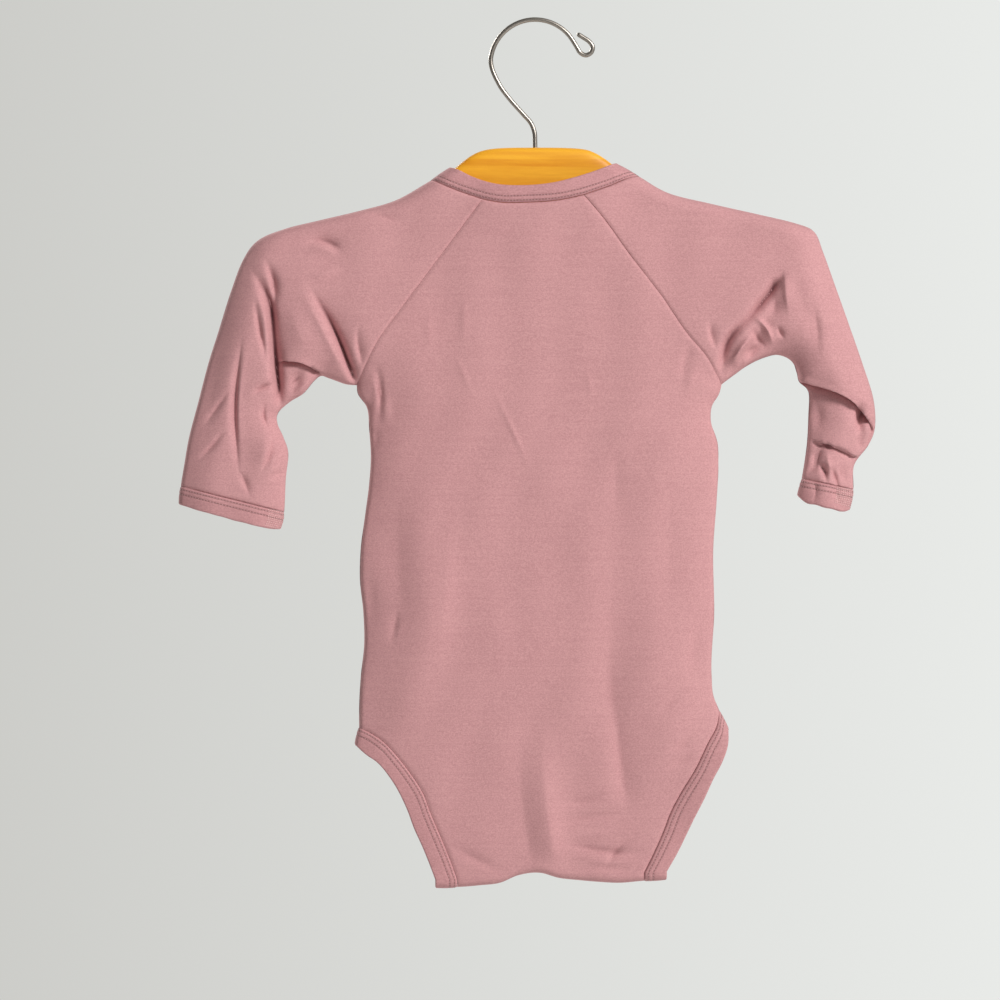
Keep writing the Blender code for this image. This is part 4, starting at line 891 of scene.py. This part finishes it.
def sew(name, grid, ring=False, reference=0, facing=-1):
    """A piece of single jersey: a shell from the grid to one thickness inside it. Its outer points carry how
    deep in a fold they lie, for the painted shade in folds; the inner ones carry none.
    """
    normals, flip = cloth_normals(grid, ring, reference, facing)
    inside = grid - normals * CLOTH
    hollow = np.concatenate([hollows(grid, normals, ring).ravel(), np.zeros(inside[::2, ::2, 0].size)])
    return shell(name, grid, inside, ring, flip, JERSEY, hollow=hollow)


def jersey(name, light, dark, stitch_rows=()):
    """Fine single jersey in a dusty pink: heathered in short level streaks along its courses, with faint
    darker courses, a fine grain, slow clouds of colour and a soft bloom of loose fibres. Painted shade
    darkens it deep in sharp folds, and a line of painted shade darkens it along each row of stitches, in the
    groove where the needle holes lie, given by its distance from the seam in mm."""
    finish = Finish(name, Sheen_Weight=0.04, Sheen_Roughness=0.5, Sheen_Tint=(1.0, 0.86, 0.84, 1.0),
                    Specular_IOR_Level=0.25)
    streak = finish.noise(finish.stretched(STREAK_STRETCH), 1.0, 3.0, 0.65)
    grain = finish.noise(finish.place(), 1500.0, 2.0, 0.6)
    course = finish.noise(finish.stretched(COURSE_STRETCH), 1.0, 2.0, 0.6)
    cloud = finish.noise(finish.place(), 22.0, 3.0, 0.55)
    shade = streak * 0.40 + grain * 0.46 + course * 0.12 + cloud * 0.06
    colour = finish.blend(finish.ramp(shade, 0.40, 0.64), light, dark)
    if stitch_rows:
        flat = finish.node("ShaderNodeUVMap", {"uv_map": "cloth"}, {})
        across = finish.node("ShaderNodeSeparateXYZ", {}, {0: flat}, 1)
        # Painted shade: a dark line in the groove along each row of stitches.
        for row in stitch_rows:
            off = finish.node("ShaderNodeMath", {"operation": "ABSOLUTE"}, {0: across - row * MM})
            near = finish.ramp(off, PAINTED_STITCH_SHADE_FADE[0] * MM, PAINTED_STITCH_SHADE_FADE[1] * MM)
            colour = finish.blend(near * PAINTED_STITCH_SHADE_SHARE, colour, PAINTED_STITCH_SHADE)
    # Painted shade: deep in a fold the colour is blended towards the painted fold shade colour.
    hollow = finish.node("ShaderNodeAttribute", {"attribute_name": "hollow"}, {}, "Fac")
    low, high, most = HOLLOW_SHADE
    colour = finish.blend(finish.ramp(hollow, low, high) * most, colour, PAINTED_FOLD_SHADE)
    finish.set("Base Color", colour)
    finish.set("Roughness", 0.80 + grain * 0.12)
    finish.bump(streak * 0.5 + grain * 0.35 + course * 0.25, 0.00022)
    return finish.data


def back_grid():
    """The back from the neck seam round the crotch fold to the end of the tab. The leg rows end at the
    start of the turn, and further rows of equal run go round it. It is just clear of the front."""
    flat = panel_grid(BACK, BACK_ROWS, BACK_STEPS)
    x, run = flat[..., 0], flat[..., 1]
    turn_drop = crotch_turn(x[-1])
    ends = crotch_runs()[1:]
    corner = BACK_ROWS[0] + BACK_ROWS[1]
    run[corner:] += np.linspace(0, 1, len(run) - corner)[:, None] ** 2 * (turn_drop - run[-1])
    x = np.concatenate([x, np.repeat(x[-1:], len(ends), axis=0)])
    run = np.concatenate([run, turn_drop + ends[:, None]])
    points = lay_round_crotch(x, run)
    points[..., 1] -= GAP * smoothstep(run, turn_drop.min(), turn_drop.min() - GAP_FADE)
    return points


JERSEY = jersey("jersey", JERSEY_LIGHT, JERSEY_DARK)
back = sew("back_cloth", back_grid(), reference=BACK_STEPS // 2)
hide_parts("back_panel")

# ---------------------------------------------------------------- front panel
# The front is cut like the back, with a lower neckline and a shorter body. It is sewn to the back at the
# sides, and its lower end laps outside the back's tab.

FRONT_ROWS = (70, 130, 70)
FRONT_STEPS = 134

# Creases and laps on the front: the sleeves' are like those of the back, and the body's are soft and few.
FRONT_CREASES = table("x0 d0 x1 d1 x2 d2 right left height peak",
    # left sleeve
    (-165, 148, -158, 168, -156, 190, 3.5, 2, -2.08, 0.5),
    (-170, 166, -164, 190, -161, 216, 2, 2.4, 1.82, 0.5),
    (-144, 150, -130, 172, -118, 200, 2.4, 5, 1.17, 0.5),
    (-178, 196, -182, 228, -179, 270, 2.2, 1.3, -1.43, 0.45),
    (-190, 222, -194, 232, -199, 244, 2.2, 2.4, -1.04, 0.5),
    (-160, 240, -164, 252, -170, 262, 2, 2.6, -1.43, 0.5),
    (-156, 262, -162, 268, -170, 271, 1.8, 2.2, -1.17, 0.4),
    (-132, 130, -118, 130, -102, 136, 2, 3, -1.17, 0.6),
    (-188, 180, -194, 220, -200, 262, 9, 8, -1.04, 0.5),
    # right sleeve
    (120, 186, 114, 200, 113, 214, 2.4, 1.6, -1.82, 0.7),
    (138, 178, 128, 190, 118, 204, 2.2, 2.4, 1.82, 0.5),
    (152, 150, 150, 162, 153, 176, 1.8, 3, -1.95, 0.4),
    (148, 184, 156, 190, 166, 192, 2, 3, -1.56, 0.5),
    (168, 232, 174, 246, 172, 262, 3, 1.8, -1.95, 0.5),
    (184, 236, 184, 250, 180, 264, 3, 3, -1.17, 0.5),
    (146, 150, 160, 178, 168, 206, 9, 8, -1.04, 0.5),
    # body
    (-94, 206, -90, 222, -92, 250, 2.4, 1.6, -1.82, 0.45),
    (98, 196, 92, 212, 90, 236, 2, 3, -1.43, 0.45),
    (-40, 280, -36, 370, -30, 470, 13, 13, -2.34, 0.6),
    (30, 300, 34, 380, 30, 460, 14, 13, 2.08, 0.6),
    (72, 250, 76, 320, 70, 390, 12, 11, -1.3, 0.5),
    (-88, 232, -80, 262, -84, 300, 8, 8, -1.17, 0.5),
    (-2, 400, -4, 450, 2, 500, 7, 7, -1.56, 0.8),
    (-30, 140, -20, 160, -14, 190, 6, 6, -0.78, 0.3),
    (34, 138, 26, 158, 22, 190, 6, 6, -0.78, 0.3),
    (84, 400, 74, 410, 66, 424, 3, 3, -1.04, 0.5),
    (-84, 404, -74, 414, -64, 430, 3, 3, -1.04, 0.5))
FRONT_LAPS = table("x0 d0 x1 d1 x2 d2 up down reach over peak",
    (-166, 152, -156, 182, -152, 228, 1.4, 3.6, 9, 1.4, 0.7),
    (-134, 160, -120, 182, -108, 218, 0.9, 2.8, 8, 1, 0.8),
    (148, 152, 124, 184, 111, 216, 0.8, 3, 9, 1.1, 0.55),
    (204, 238, 182, 228, 160, 217, 2, 1.8, 14, 1.6, 0.45))
FRONT = {
    "side": "front",
    "facing": 1,
    "creases": FRONT_CREASES,
    "laps": FRONT_LAPS,
    "raglans": (
        table("x drop", (-46, 121.5), (-66, 150), (-87, 181), (-107, 218)),
        table("x drop", (45, 120.5), (66, 150), (89, 181), (112, 217.5))),
    "necks": (
        table("x drop", (-46, 121.5), (-55, 113), (-60.5, 103.5), (-62.5, 95.2)),
        table("x drop",
            (-46, 121.5), (-31, 129.5), (-15, 133.5), (0, 134.5), (15, 133), (31, 128.5), (45, 120.5)),
        table("x drop", (45, 120.5), (54, 112), (59.5, 102), (62, 92.5))),
    "neck_edge": table("x drop",
        (-51, 87.5), (-50, 95), (-43, 106.5), (-30, 117), (-15, 122.5), (0, 124), (15, 122), (30, 116),
        (42, 105), (47.5, 94), (48.5, 85)),
    "legs": (
        table("x drop",
            (-105.5, 423), (-92, 428), (-77, 440), (-66, 454), (-57, 471), (-50.5, 490), (-46, 509)),
        table("x drop",
            (110.5, 413), (103, 421), (93, 432), (82.5, 446), (74.5, 462), (68.5, 480), (65, 497),
            (63, 509))),
    "leg_edges": (
        table("x drop",
            (-108, 433.5), (-98, 438), (-86, 448.5), (-76, 463), (-68, 479), (-62, 496), (-58, 511)),
        table("x drop",
            (116, 424), (109, 435), (98.5, 449), (90, 463), (84.5, 478), (80.5, 492), (77.5, 504),
            (75.5, 511))),
}
FRONT["seams"] = seams_of(FRONT)


def front_grid():
    """The front from its neck seam to its lower end, just clear of the back at the sides."""
    flat = panel_grid(FRONT, FRONT_ROWS, FRONT_STEPS)
    return lay(flat[..., 0], flat[..., 1], FRONT) + (0, GAP, 0)


front = sew("front_cloth", front_grid(), reference=FRONT_STEPS // 2, facing=1)
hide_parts("front_panel")

# ---------------------------------------------------------------- sleeves
# Each sleeve is one piece of the same jersey, sewn into a tube along its underside and to both panels
# along the raglan seams. They hang limp from the ends of the bar and crumple at the elbows.

SLEEVE_ROWS = 222
BACK_SLEEVE_STEPS = (146, 26)
FRONT_SLEEVE_STEPS = (66, 24)
ON_THE_BACK = 60


def sleeve_half(end, rows, panel, steps):
    """One layer of a sleeve from its underside fold to its top fold. A row is the straight line between
    the folds of a section; near the body it bends to follow the raglan seam up from the underarm and the
    neck seam from the corner between the two."""
    folds = [points_of(SLEEVES[end], edge) for edge in ("top_", "under_")]
    knots = np.arange(len(folds[0]), dtype=float)
    top, under = (spline(knots, fold, rows) for fold in folds)
    raglan, neck = panel["raglans"][end], panel["necks"][2 * end]
    raglan_length = length(points_of(raglan))
    corner = raglan_length / (raglan_length + length(points_of(neck)))
    widths = np.hypot(*(top - under).T)
    share = np.array([turn_fractions(width, steps, corner) for width in widths])[..., None]
    flat = under[:, None] * (1 - share) + top[:, None] * share
    first_top, first_under = folds[0][0], folds[1][0]
    first = turn_fractions(np.hypot(*(first_top - first_under)), steps, corner)
    seam = np.where((first <= corner)[:, None], along(raglan, 1 - np.clip(first / corner, 0, 1)),
                    along(neck, np.clip((first - corner) / (1 - corner), 0, 1)))
    straight = first_under * (1 - first[:, None]) + first_top * first[:, None]
    fade = (1 - np.clip(rows / (len(knots) - 2), 0, 1)) ** 2
    flat += fade[:, None, None] * (seam - straight)
    points = lay(flat[..., 0], flat[..., 1], panel)
    points[:, (0, -1), 1] = 0
    return points


def sleeve_tube(end, rows):
    """Both layers of a sleeve as a ring of columns: the back from underside to top, then the front."""
    front_half = sleeve_half(end, rows, FRONT, FRONT_SLEEVE_STEPS)
    return np.concatenate([sleeve_half(end, rows, BACK, BACK_SLEEVE_STEPS), front_half[:, -2:0:-1]], axis=1)


for end, label in enumerate(("left", "right")):
    rows = np.linspace(0, len(SLEEVES[end]["top_x"]) - 2, SLEEVE_ROWS + 1)
    sleeve = sew("sleeve_cloth_" + label, sleeve_tube(end, rows), ring=True, reference=ON_THE_BACK)
    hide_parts("sleeve_" + label)

# ---------------------------------------------------------------- neck band
# The neck opening is bound with a folded strip of the same jersey, stitched down with two rows of fine
# coverstitch. It lies over the bar at both ends of the opening and stands a little away between them.

BAND_THICK = 1.9
BAND_PROUD = 0.35
BAND_CROWN = 0.22
BAND_GAP = 0.12
BAND_LEAST = 0.12
BAND_FLAT = 0.9
BAND_TURN = 0.1
BAND_STEPS = (18, 6)
GROOVE = 0.22
GROOVE_WIDTH = 0.55
SEAM_GROOVE = 0.5
SEAM_GROOVE_WIDTH = 0.8
NECK_STITCHES = (1.6, 4.2)
NECK_COLUMNS = {"back": 190, "front": 220}
STITCH_PITCH = 1.9
STITCH_LONG = 1.1
STITCH_WIDE = 0.55
STITCH_HIGH = 0.3
BEAD_SIDES = 6
BEAD_REACH = (-0.72, 0.0, 0.72)
BEAD_GIRTH = (0.72, 1.0, 0.72)
BEAD_DIP = 0.4
BINDING_LIGHT = (0.620, 0.320, 0.332)
BINDING_DARK = (0.490, 0.240, 0.252)
THREAD = (0.62, 0.36, 0.36)


def band_shares():
    """Places across a band from its seam to its free edge, close together where the edge turns over."""
    angle = np.linspace(0, np.pi / 2, BAND_STEPS[1] + 1)
    flat = np.linspace(0, BAND_FLAT, BAND_STEPS[0] + 1)
    return np.concatenate([flat, BAND_FLAT + BAND_TURN * np.sin(angle[1:])])


def folded_band(name, grid, material, stitch_rows, ring=False, reference=0):
    """A band of cloth folded over its free edge, as a closed shell, and the points of its outer face, its
    normals and its distances from the seam.

    The grid's rows go from the seam to the free edge. The two faces lie half a thickness to both sides,
    times a quarter ellipse that closes them at the free edge. Outside it is crowned by a sine and sinks
    by a narrow bell at each row of stitches and at the seam.
    """
    normals, flip = cloth_normals(grid, ring, reference, -1)
    across = running(np.linalg.norm(np.diff(grid, axis=0), axis=-1))
    width = across[-1]
    half = BAND_THICK / 2 * np.clip(quarter_ellipse(width - across, BAND_THICK / 2), BAND_LEAST, 1)
    sunk = sum(GROOVE * np.exp(-((across - at) / GROOVE_WIDTH) ** 2) for at in stitch_rows)
    sunk = sunk + SEAM_GROOVE * np.exp(-(across / SEAM_GROOVE_WIDTH) ** 2)
    crown = BAND_CROWN * np.sin(np.pi * np.clip(across / width, 0, 1))
    middle = BAND_PROUD - BAND_THICK / 2
    outer = grid + normals * (middle + half + crown - sunk)[..., None]
    inner = grid + normals * (middle - half)[..., None]
    run = running(np.linalg.norm(np.diff(grid, axis=1), axis=-1).mean(axis=0))
    cloth = np.stack([np.broadcast_to(run, across.shape), across], axis=-1)
    uv = np.concatenate([cloth.reshape(-1, 2), cloth[::2, ::2].reshape(-1, 2)])
    return shell(name, outer, inner, ring, flip, material, uv=uv), outer, normals, across


def picked(grid, rows, columns):
    """Values of a grid at fractional rows and columns, in proportion between the four nearest."""
    r = np.clip(rows.astype(int), 0, grid.shape[0] - 2)
    c = np.clip(columns.astype(int), 0, grid.shape[1] - 2)
    p, q = (rows - r)[:, None], (columns - c)[:, None]
    return ((grid[r, c] * (1 - q) + grid[r, c + 1] * q) * (1 - p)
            + (grid[r + 1, c] * (1 - q) + grid[r + 1, c + 1] * q) * p)


def closed_faces(rings, sides):
    """Faces of a form of rings: its walls, and the fans from its two ends to two points numbered last."""
    numbers = ring_of(np.arange(rings * sides).reshape(rings, sides))
    first, last = (np.full(sides, rings * sides + end) for end in (0, 1))
    return (quads(numbers), np.stack([first, numbers[0, 1:], numbers[0, :-1]], axis=1),
            np.stack([last, numbers[-1, :-1], numbers[-1, 1:]], axis=1))


def stitches(name, surface, normals, across, stitch_rows, material, pitch=STITCH_PITCH):
    """Rows of stitches at given distances from the seam, all one mesh. A stitch is a long, flat bead that
    lies on the cloth: rings of points round its length, between two end points that dip into the cloth.
    The fans at its ends are wound against its walls."""
    columns = np.arange(across.shape[1], dtype=float)
    centres, outs, alongs = [], [], []
    for at in stitch_rows:
        row_of = np.array([np.interp(at, column, np.arange(len(across))) for column in across.T])
        line = picked(surface, row_of, columns)
        run = running(np.linalg.norm(np.diff(line, axis=0), axis=1))
        where = np.arange(pitch / 2, run[-1] - pitch / 3, pitch)
        before, column, after = (np.interp(where + ahead, run, columns) for ahead in (-0.5, 0, 0.5))
        rows = np.interp(column, columns, row_of)
        centres.append(picked(surface, rows, column))
        outs.append(picked(normals, rows, column))
        alongs.append(picked(surface, rows, after) - picked(surface, rows, before))
    centre, out, forward = (np.concatenate(group)[:, None] for group in (centres, outs, alongs))
    out, forward = unit(out), unit(forward)
    sideways = np.cross(out, forward)
    reach, girth = (np.repeat(values, BEAD_SIDES)[:, None] for values in (BEAD_REACH, BEAD_GIRTH))
    turn = np.tile(np.linspace(0, 2 * np.pi, BEAD_SIDES, endpoint=False), len(BEAD_REACH))[:, None]
    rings = (centre + forward * (STITCH_LONG / 2 * reach)
             + sideways * (STITCH_WIDE / 2 * girth * np.cos(turn))
             + out * (STITCH_HIGH * girth * np.sin(turn)))
    ends = centre + forward * (STITCH_LONG / 2 * np.array([[-1.0], [1.0]])) - out * STITCH_HIGH * BEAD_DIP
    points = np.concatenate([rings, ends], axis=1)
    starts = (np.arange(len(points)) * points.shape[1])[:, None, None]
    walls, *fans = closed_faces(len(BEAD_REACH), BEAD_SIDES)
    faces = [face for part in (walls, *(fan[:, [0, 2, 1]] for fan in fans))
             for face in (starts + part).reshape(-1, part.shape[1]).tolist()]
    return make_piece(name, points.reshape(-1, 3), faces, material)


def thread(name, colour):
    """Polyester sewing thread, dyed to match: a fine twist and a slight shine."""
    finish = Finish(name, Sheen_Weight=0.15, Specular_IOR_Level=0.35)
    twist = finish.noise(finish.place(), 3200.0, 1.0)
    finish.set("Base Color", finish.blend(twist, colour, tuple(0.86 * part for part in colour)))
    finish.set("Roughness", 0.55 + twist * 0.15)
    finish.bump(twist, 0.00005)
    return finish.data


def ribbon(seam, edge, panel):
    """Rows of points from just past the seam to the free edge, laid on a layer of the cloth."""
    start = (BAND_GAP / np.hypot(*(edge - seam).T))[:, None]
    share = start + (1 - start) * band_shares()[:, None, None]
    flat = seam * (1 - share) + edge * share
    return lay(flat[..., 0], flat[..., 1], panel)


def neck_layer(panel):
    """One layer of the neck band from where it crosses the bar on the left to the right. The free edge
    is matched to the seam by its share of the length."""
    left, middle, right = (dense(rows, 1.5) for rows in panel["necks"])
    line = np.concatenate([left[::-1], middle[1:], right[1:]])
    share = turn_fractions(length(line), NECK_COLUMNS[panel["side"]] - 2 * TURN_STEPS)
    seam = np.stack([np.interp(share, length_knots(line), part) for part in line.T], axis=-1)
    layer = ribbon(seam, along(panel["neck_edge"], share), panel)
    layer[:, (0, -1), 1] = 0
    return layer


SEWING_THREAD = thread("sewing_thread", THREAD)
NECK_JERSEY = jersey("neck_jersey", BINDING_LIGHT, BINDING_DARK, NECK_STITCHES)
neck_grid = np.concatenate([neck_layer(BACK), neck_layer(FRONT)[:, -2:0:-1]], axis=1)
neck, *outside = folded_band("neck_binding", neck_grid, NECK_JERSEY, NECK_STITCHES, ring=True,
                             reference=NECK_COLUMNS["back"] // 2)
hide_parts("neck_band")
neck_thread = stitches("neck_stitches", *outside, NECK_STITCHES, SEWING_THREAD)

# ---------------------------------------------------------------- leg bindings
# Each leg opening is bound with a folded strip, sewn with two rows of coverstitch from the back's tab up
# over the side corner and down to the front's lower end.

LEG_STITCHES = {"left": (1.7, 4.6), "right": (2.6, 5.6)}
LEG_STEPS = {"back": 96, "front": 90}


def crotch_ribbon(seam, edge):
    """The binding's last stretch: from the start of the crotch fold round to the end of the tab."""
    start = BAND_GAP / np.hypot(*(edge[-1] - seam[-1]))
    share = (start + (1 - start) * band_shares())[:, None]
    over = crotch_runs()
    x = seam[-1, 0] * (1 - share) + edge[-1, 0] * share + 0 * over
    return lay_round_crotch(x, crotch_turn(x) + over)


for end, label in enumerate(("left", "right")):
    on_back, on_front = ([leg_points(panel[part][end], LEG_STEPS[panel["side"]])
                          for part in ("legs", "leg_edges")] for panel in (BACK, FRONT))
    up_back, down_front = ribbon(*on_back, BACK), ribbon(*on_front, FRONT)
    up_back[:, 0, 1] = 0
    strip = np.concatenate([crotch_ribbon(*on_back)[:, ::-1], up_back[:, -2::-1], down_front[:, 1:]], axis=1)
    leg_jersey = jersey("leg_jersey_" + label, BINDING_LIGHT, BINDING_DARK, LEG_STITCHES[label])
    leg, *outside = folded_band("leg_binding_cloth_" + label, strip, leg_jersey, LEG_STITCHES[label],
                                reference=CROTCH_STEPS + TAB_STEPS + LEG_STEPS["back"] // 2)
    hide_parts("leg_binding_" + label)
    leg_thread = stitches("leg_stitches_" + label, *outside, LEG_STITCHES[label], SEWING_THREAD)

# ---------------------------------------------------------------- cuffs
# A folded band of the same jersey finishes each sleeve, sewn on with two rows of coverstitch. They end in a
# dense patch of overlock, at the underside on the left sleeve and at the twisted top fold on the right one.

# The right cuff's real cut is the left one's, and its modelled end has too little cloth for that.
CUFF_STITCHES = (1.8, 4.6)
CUFF_SAG = {"left": (1.1, 0.6, 0.08), "right": (2.4, -0.1, 0.35)}
TOP_FOLD_COLUMN = 2 * TURN_STEPS + sum(BACK_SLEEVE_STEPS)
OVERLOCK_COLUMN = {"left": 0, "right": TOP_FOLD_COLUMN}
OVERLOCK_ROWS = (0.7, 1.9, 3.1, 4.3, 5.5, 6.7, 7.9, 9.1, 10.3)
OVERLOCK_LONG = 12.0
OVERLOCK_PITCH = 1.3
OVERLOCK = (0.82, 0.54, 0.53)


def sagging_edge(tube, rows, sag, lean, uneven):
    """The tube with its free edge let down: each row by its share of the way to the edge, squared, times
    (1 - q^4) times the sum of sag (1 + lean q) and a slight ripple, uneven times two sines of x. q runs
    from -1 to 1 from the left to the right."""
    share = ((rows - rows[0]) / (rows[-1] - rows[0]))[:, None] ** 2
    x = tube[..., 0]
    low, high = x.min(axis=1, keepdims=True), x.max(axis=1, keepdims=True)
    q = 2 * (x - low) / (high - low) - 1
    ripple = uneven * (np.sin(0.55 * x) + np.sin(0.31 * x + 1.0))
    tube[..., 2] -= share * ((1 - q ** 4) * (sag * (1 + lean * q) + ripple))
    return tube


OVERLOCK_THREAD = thread("overlock_thread", OVERLOCK)
CUFF_JERSEY = jersey("cuff_jersey", BINDING_LIGHT, BINDING_DARK, CUFF_STITCHES)
for end, label in enumerate(("left", "right")):
    top = points_of(SLEEVES[end], "top_")
    start = BAND_GAP / np.hypot(*(top[-1] - top[-2]))
    rows = len(top) - 2 + start + (1 - start) * band_shares()
    tube = sagging_edge(sleeve_tube(end, rows), rows, *CUFF_SAG[label])
    cuff, *outside = folded_band("cuff_cloth_" + label, tube, CUFF_JERSEY, CUFF_STITCHES, ring=True,
                                 reference=ON_THE_BACK)
    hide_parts("cuff_" + label)
    cuff_thread = stitches("cuff_stitches_" + label, *outside, CUFF_STITCHES, SEWING_THREAD)
    seam = outside[0][0, :TOP_FOLD_COLUMN + 1]
    from_fold = np.linalg.norm(seam - seam[OVERLOCK_COLUMN[label]], axis=1)
    on_patch = (values[:, np.flatnonzero(from_fold < OVERLOCK_LONG)] for values in outside)
    overlock = stitches("cuff_overlock_" + label, *on_patch, OVERLOCK_ROWS, OVERLOCK_THREAD, OVERLOCK_PITCH)

# ---------------------------------------------------------------- press snaps
# Three press snaps close the crotch: a dyed cap with a rolled rim and a shallow dish outside the front's
# end, and a ring with a raised socket inside the back's tab.

SNAP_SIDES = 48
SNAP_COUNT = 3
RESIN_LIGHT = (0.60, 0.36, 0.36)
RESIN_DARK = (0.54, 0.31, 0.32)

# Which way along y each half faces, and its profile from the pole of its outer face to that of its base.
SNAPS = {
    "cap": (1, table("radius height",
        (0.0, 0.50), (1.2, 0.50), (2.2, 0.60), (3.0, 0.85), (3.7, 1.18), (4.2, 1.36), (4.55, 1.30),
        (4.72, 1.05), (4.75, 0.70), (4.70, 0.30), (4.4, 0.05), (3.6, 0.0), (0.0, 0.0))),
    "ring": (-1, table("radius height",
        (0.0, 0.55), (0.9, 0.55), (1.15, 0.75), (1.3, 1.3), (1.9, 1.4), (2.2, 1.1), (2.5, 0.65), (3.4, 0.6),
        (4.2, 0.75), (4.6, 0.65), (4.75, 0.35), (4.5, 0.05), (3.6, 0.0), (0.0, 0.0))),
}


def turned(facing, profile, node):
    """A profile turned round the snap's own axis, which lies along y, filling the node's box in y."""
    low, high = (np.array(corner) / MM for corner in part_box(node))
    x, _, z = (low + high) / 2
    base = low[1] if facing > 0 else high[1]
    y = (base + facing * (profile["height"] / profile["height"].max() * (high[1] - low[1])))[:, None]
    turn = np.linspace(0, 2 * np.pi, SNAP_SIDES, endpoint=False)
    radius = profile["radius"][:, None]
    rings = np.stack([x + radius * np.cos(turn), y + 0 * turn, z + radius * np.sin(turn)], axis=-1)
    points = np.concatenate([rings[1:-1].reshape(-1, 3), rings[[0, -1], 0]])
    faces = [face for part in closed_faces(len(radius) - 2, SNAP_SIDES)
             for face in part[:, ::facing].tolist()]
    return points, faces


def snap_resin():
    """Acetal resin, dyed to match the cloth, with faint moulding clouds and a soft gloss."""
    finish = Finish("snap_resin", IOR=1.48)
    cloud = finish.noise(finish.place(), 500.0)
    finish.set("Base Color", finish.blend(cloud, RESIN_LIGHT, RESIN_DARK))
    finish.set("Roughness", 0.28 + cloud * 0.1)
    finish.bump(cloud, 0.00003)
    return finish.data


SNAP_RESIN = snap_resin()
for number in range(1, SNAP_COUNT + 1):
    for kind, (facing, profile) in SNAPS.items():
        node = f"snap_{kind}_{number}"
        snap = make_piece("press_" + node, *turned(facing, profile, node), SNAP_RESIN)
        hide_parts(node)

# ---------------------------------------------------------------- studio
# A pale room: a floor well below the garment, soft light from every side that is stronger on the right,
# one large lamp above and to the right of the camera, and a weaker one behind the garment.

FLOOR_DROP = 1.25
FLOOR_SIZE = 7.0
FLOOR_LIGHT = (0.74, 0.74, 0.73)
FLOOR_DARK = (0.70, 0.70, 0.69)
ROOM_LEFT = (0.600, 0.600, 0.575)
ROOM_RIGHT = (0.820, 0.835, 0.815)
ROOM_TURN = 0.13
ROOM_DEPTH = 0.9
ROOM_BEHIND_CAMERA = 0.24
LAMP_COLOUR = (1.0, 0.985, 0.96)
LAMP_AIM = (-0.02, 0.0, -0.28)
KEY_PLACE = (2.5, -2.9, 1.9)
KEY_SIZE = 1.2
KEY_POWER = 186.0
BACK_PLACE = (-2.3, 2.9, 1.3)
BACK_SIZE = 1.6
BACK_POWER = 110.0
CAMERA_PLACE = (-0.021, -2.5, -0.28686)
CAMERA_LENS = 150.0
CAMERA_SENSOR = 36.0


def lamp(name, place, size, power):
    """A square lamp that points at the middle of the garment."""
    light = bpy.data.lights.new(name, "AREA")
    light.size = size
    light.energy = power
    light.color = LAMP_COLOUR
    holder = put(name, light)
    holder.location = place
    aim = np.subtract(LAMP_AIM, place)
    holder.rotation_euler = (np.arctan2(np.hypot(aim[0], aim[1]), -aim[2]), 0, np.arctan2(-aim[0], aim[1]))


painted = Finish("painted_floor", Roughness=0.7)
painted.set("Base Color", painted.blend(painted.noise(painted.place(), 3.0, 3.0), FLOOR_LIGHT, FLOOR_DARK))
floor_mesh = bpy.data.meshes.new("floor")
floor_mesh.from_pydata([(FLOOR_SIZE / 2 * right, FLOOR_SIZE / 2 * away, -FLOOR_DROP)
                        for right, away in ((-1, -1), (1, -1), (1, 1), (-1, 1))], [], [(0, 1, 2, 3)])
floor_mesh.materials.append(painted.data)
floor = put("floor", floor_mesh)

room = Finish("room", bpy.data.worlds, "Background")
bpy.context.scene.world = room.data
direction = room.node("ShaderNodeTexCoord", {}, {}, "Generated")
right, away = (room.node("ShaderNodeSeparateXYZ", {}, {0: direction}, axis) for axis in (0, 1))
turn = room.node("ShaderNodeMapRange", {}, {"Value": right, "From Min": -ROOM_TURN, "From Max": ROOM_TURN})
room.set("Color", room.blend(turn, ROOM_LEFT, ROOM_RIGHT))
room.set("Strength", room.node("ShaderNodeMapRange", {}, {"Value": away, "From Min": 0.0,
                                                          "From Max": ROOM_DEPTH,
                                                          "To Min": ROOM_BEHIND_CAMERA, "To Max": 1.0}))

lamp("key_lamp", KEY_PLACE, KEY_SIZE, KEY_POWER)
lamp("back_lamp", BACK_PLACE, BACK_SIZE, BACK_POWER)

camera = bpy.data.cameras.new("camera")
camera.lens = CAMERA_LENS
camera.sensor_width = CAMERA_SENSOR
viewer = put("camera", camera)
viewer.location = CAMERA_PLACE
viewer.rotation_euler = (np.pi / 2, 0, 0)
bpy.context.scene.camera = viewer
bpy.context.scene.view_settings.view_transform = "Standard"
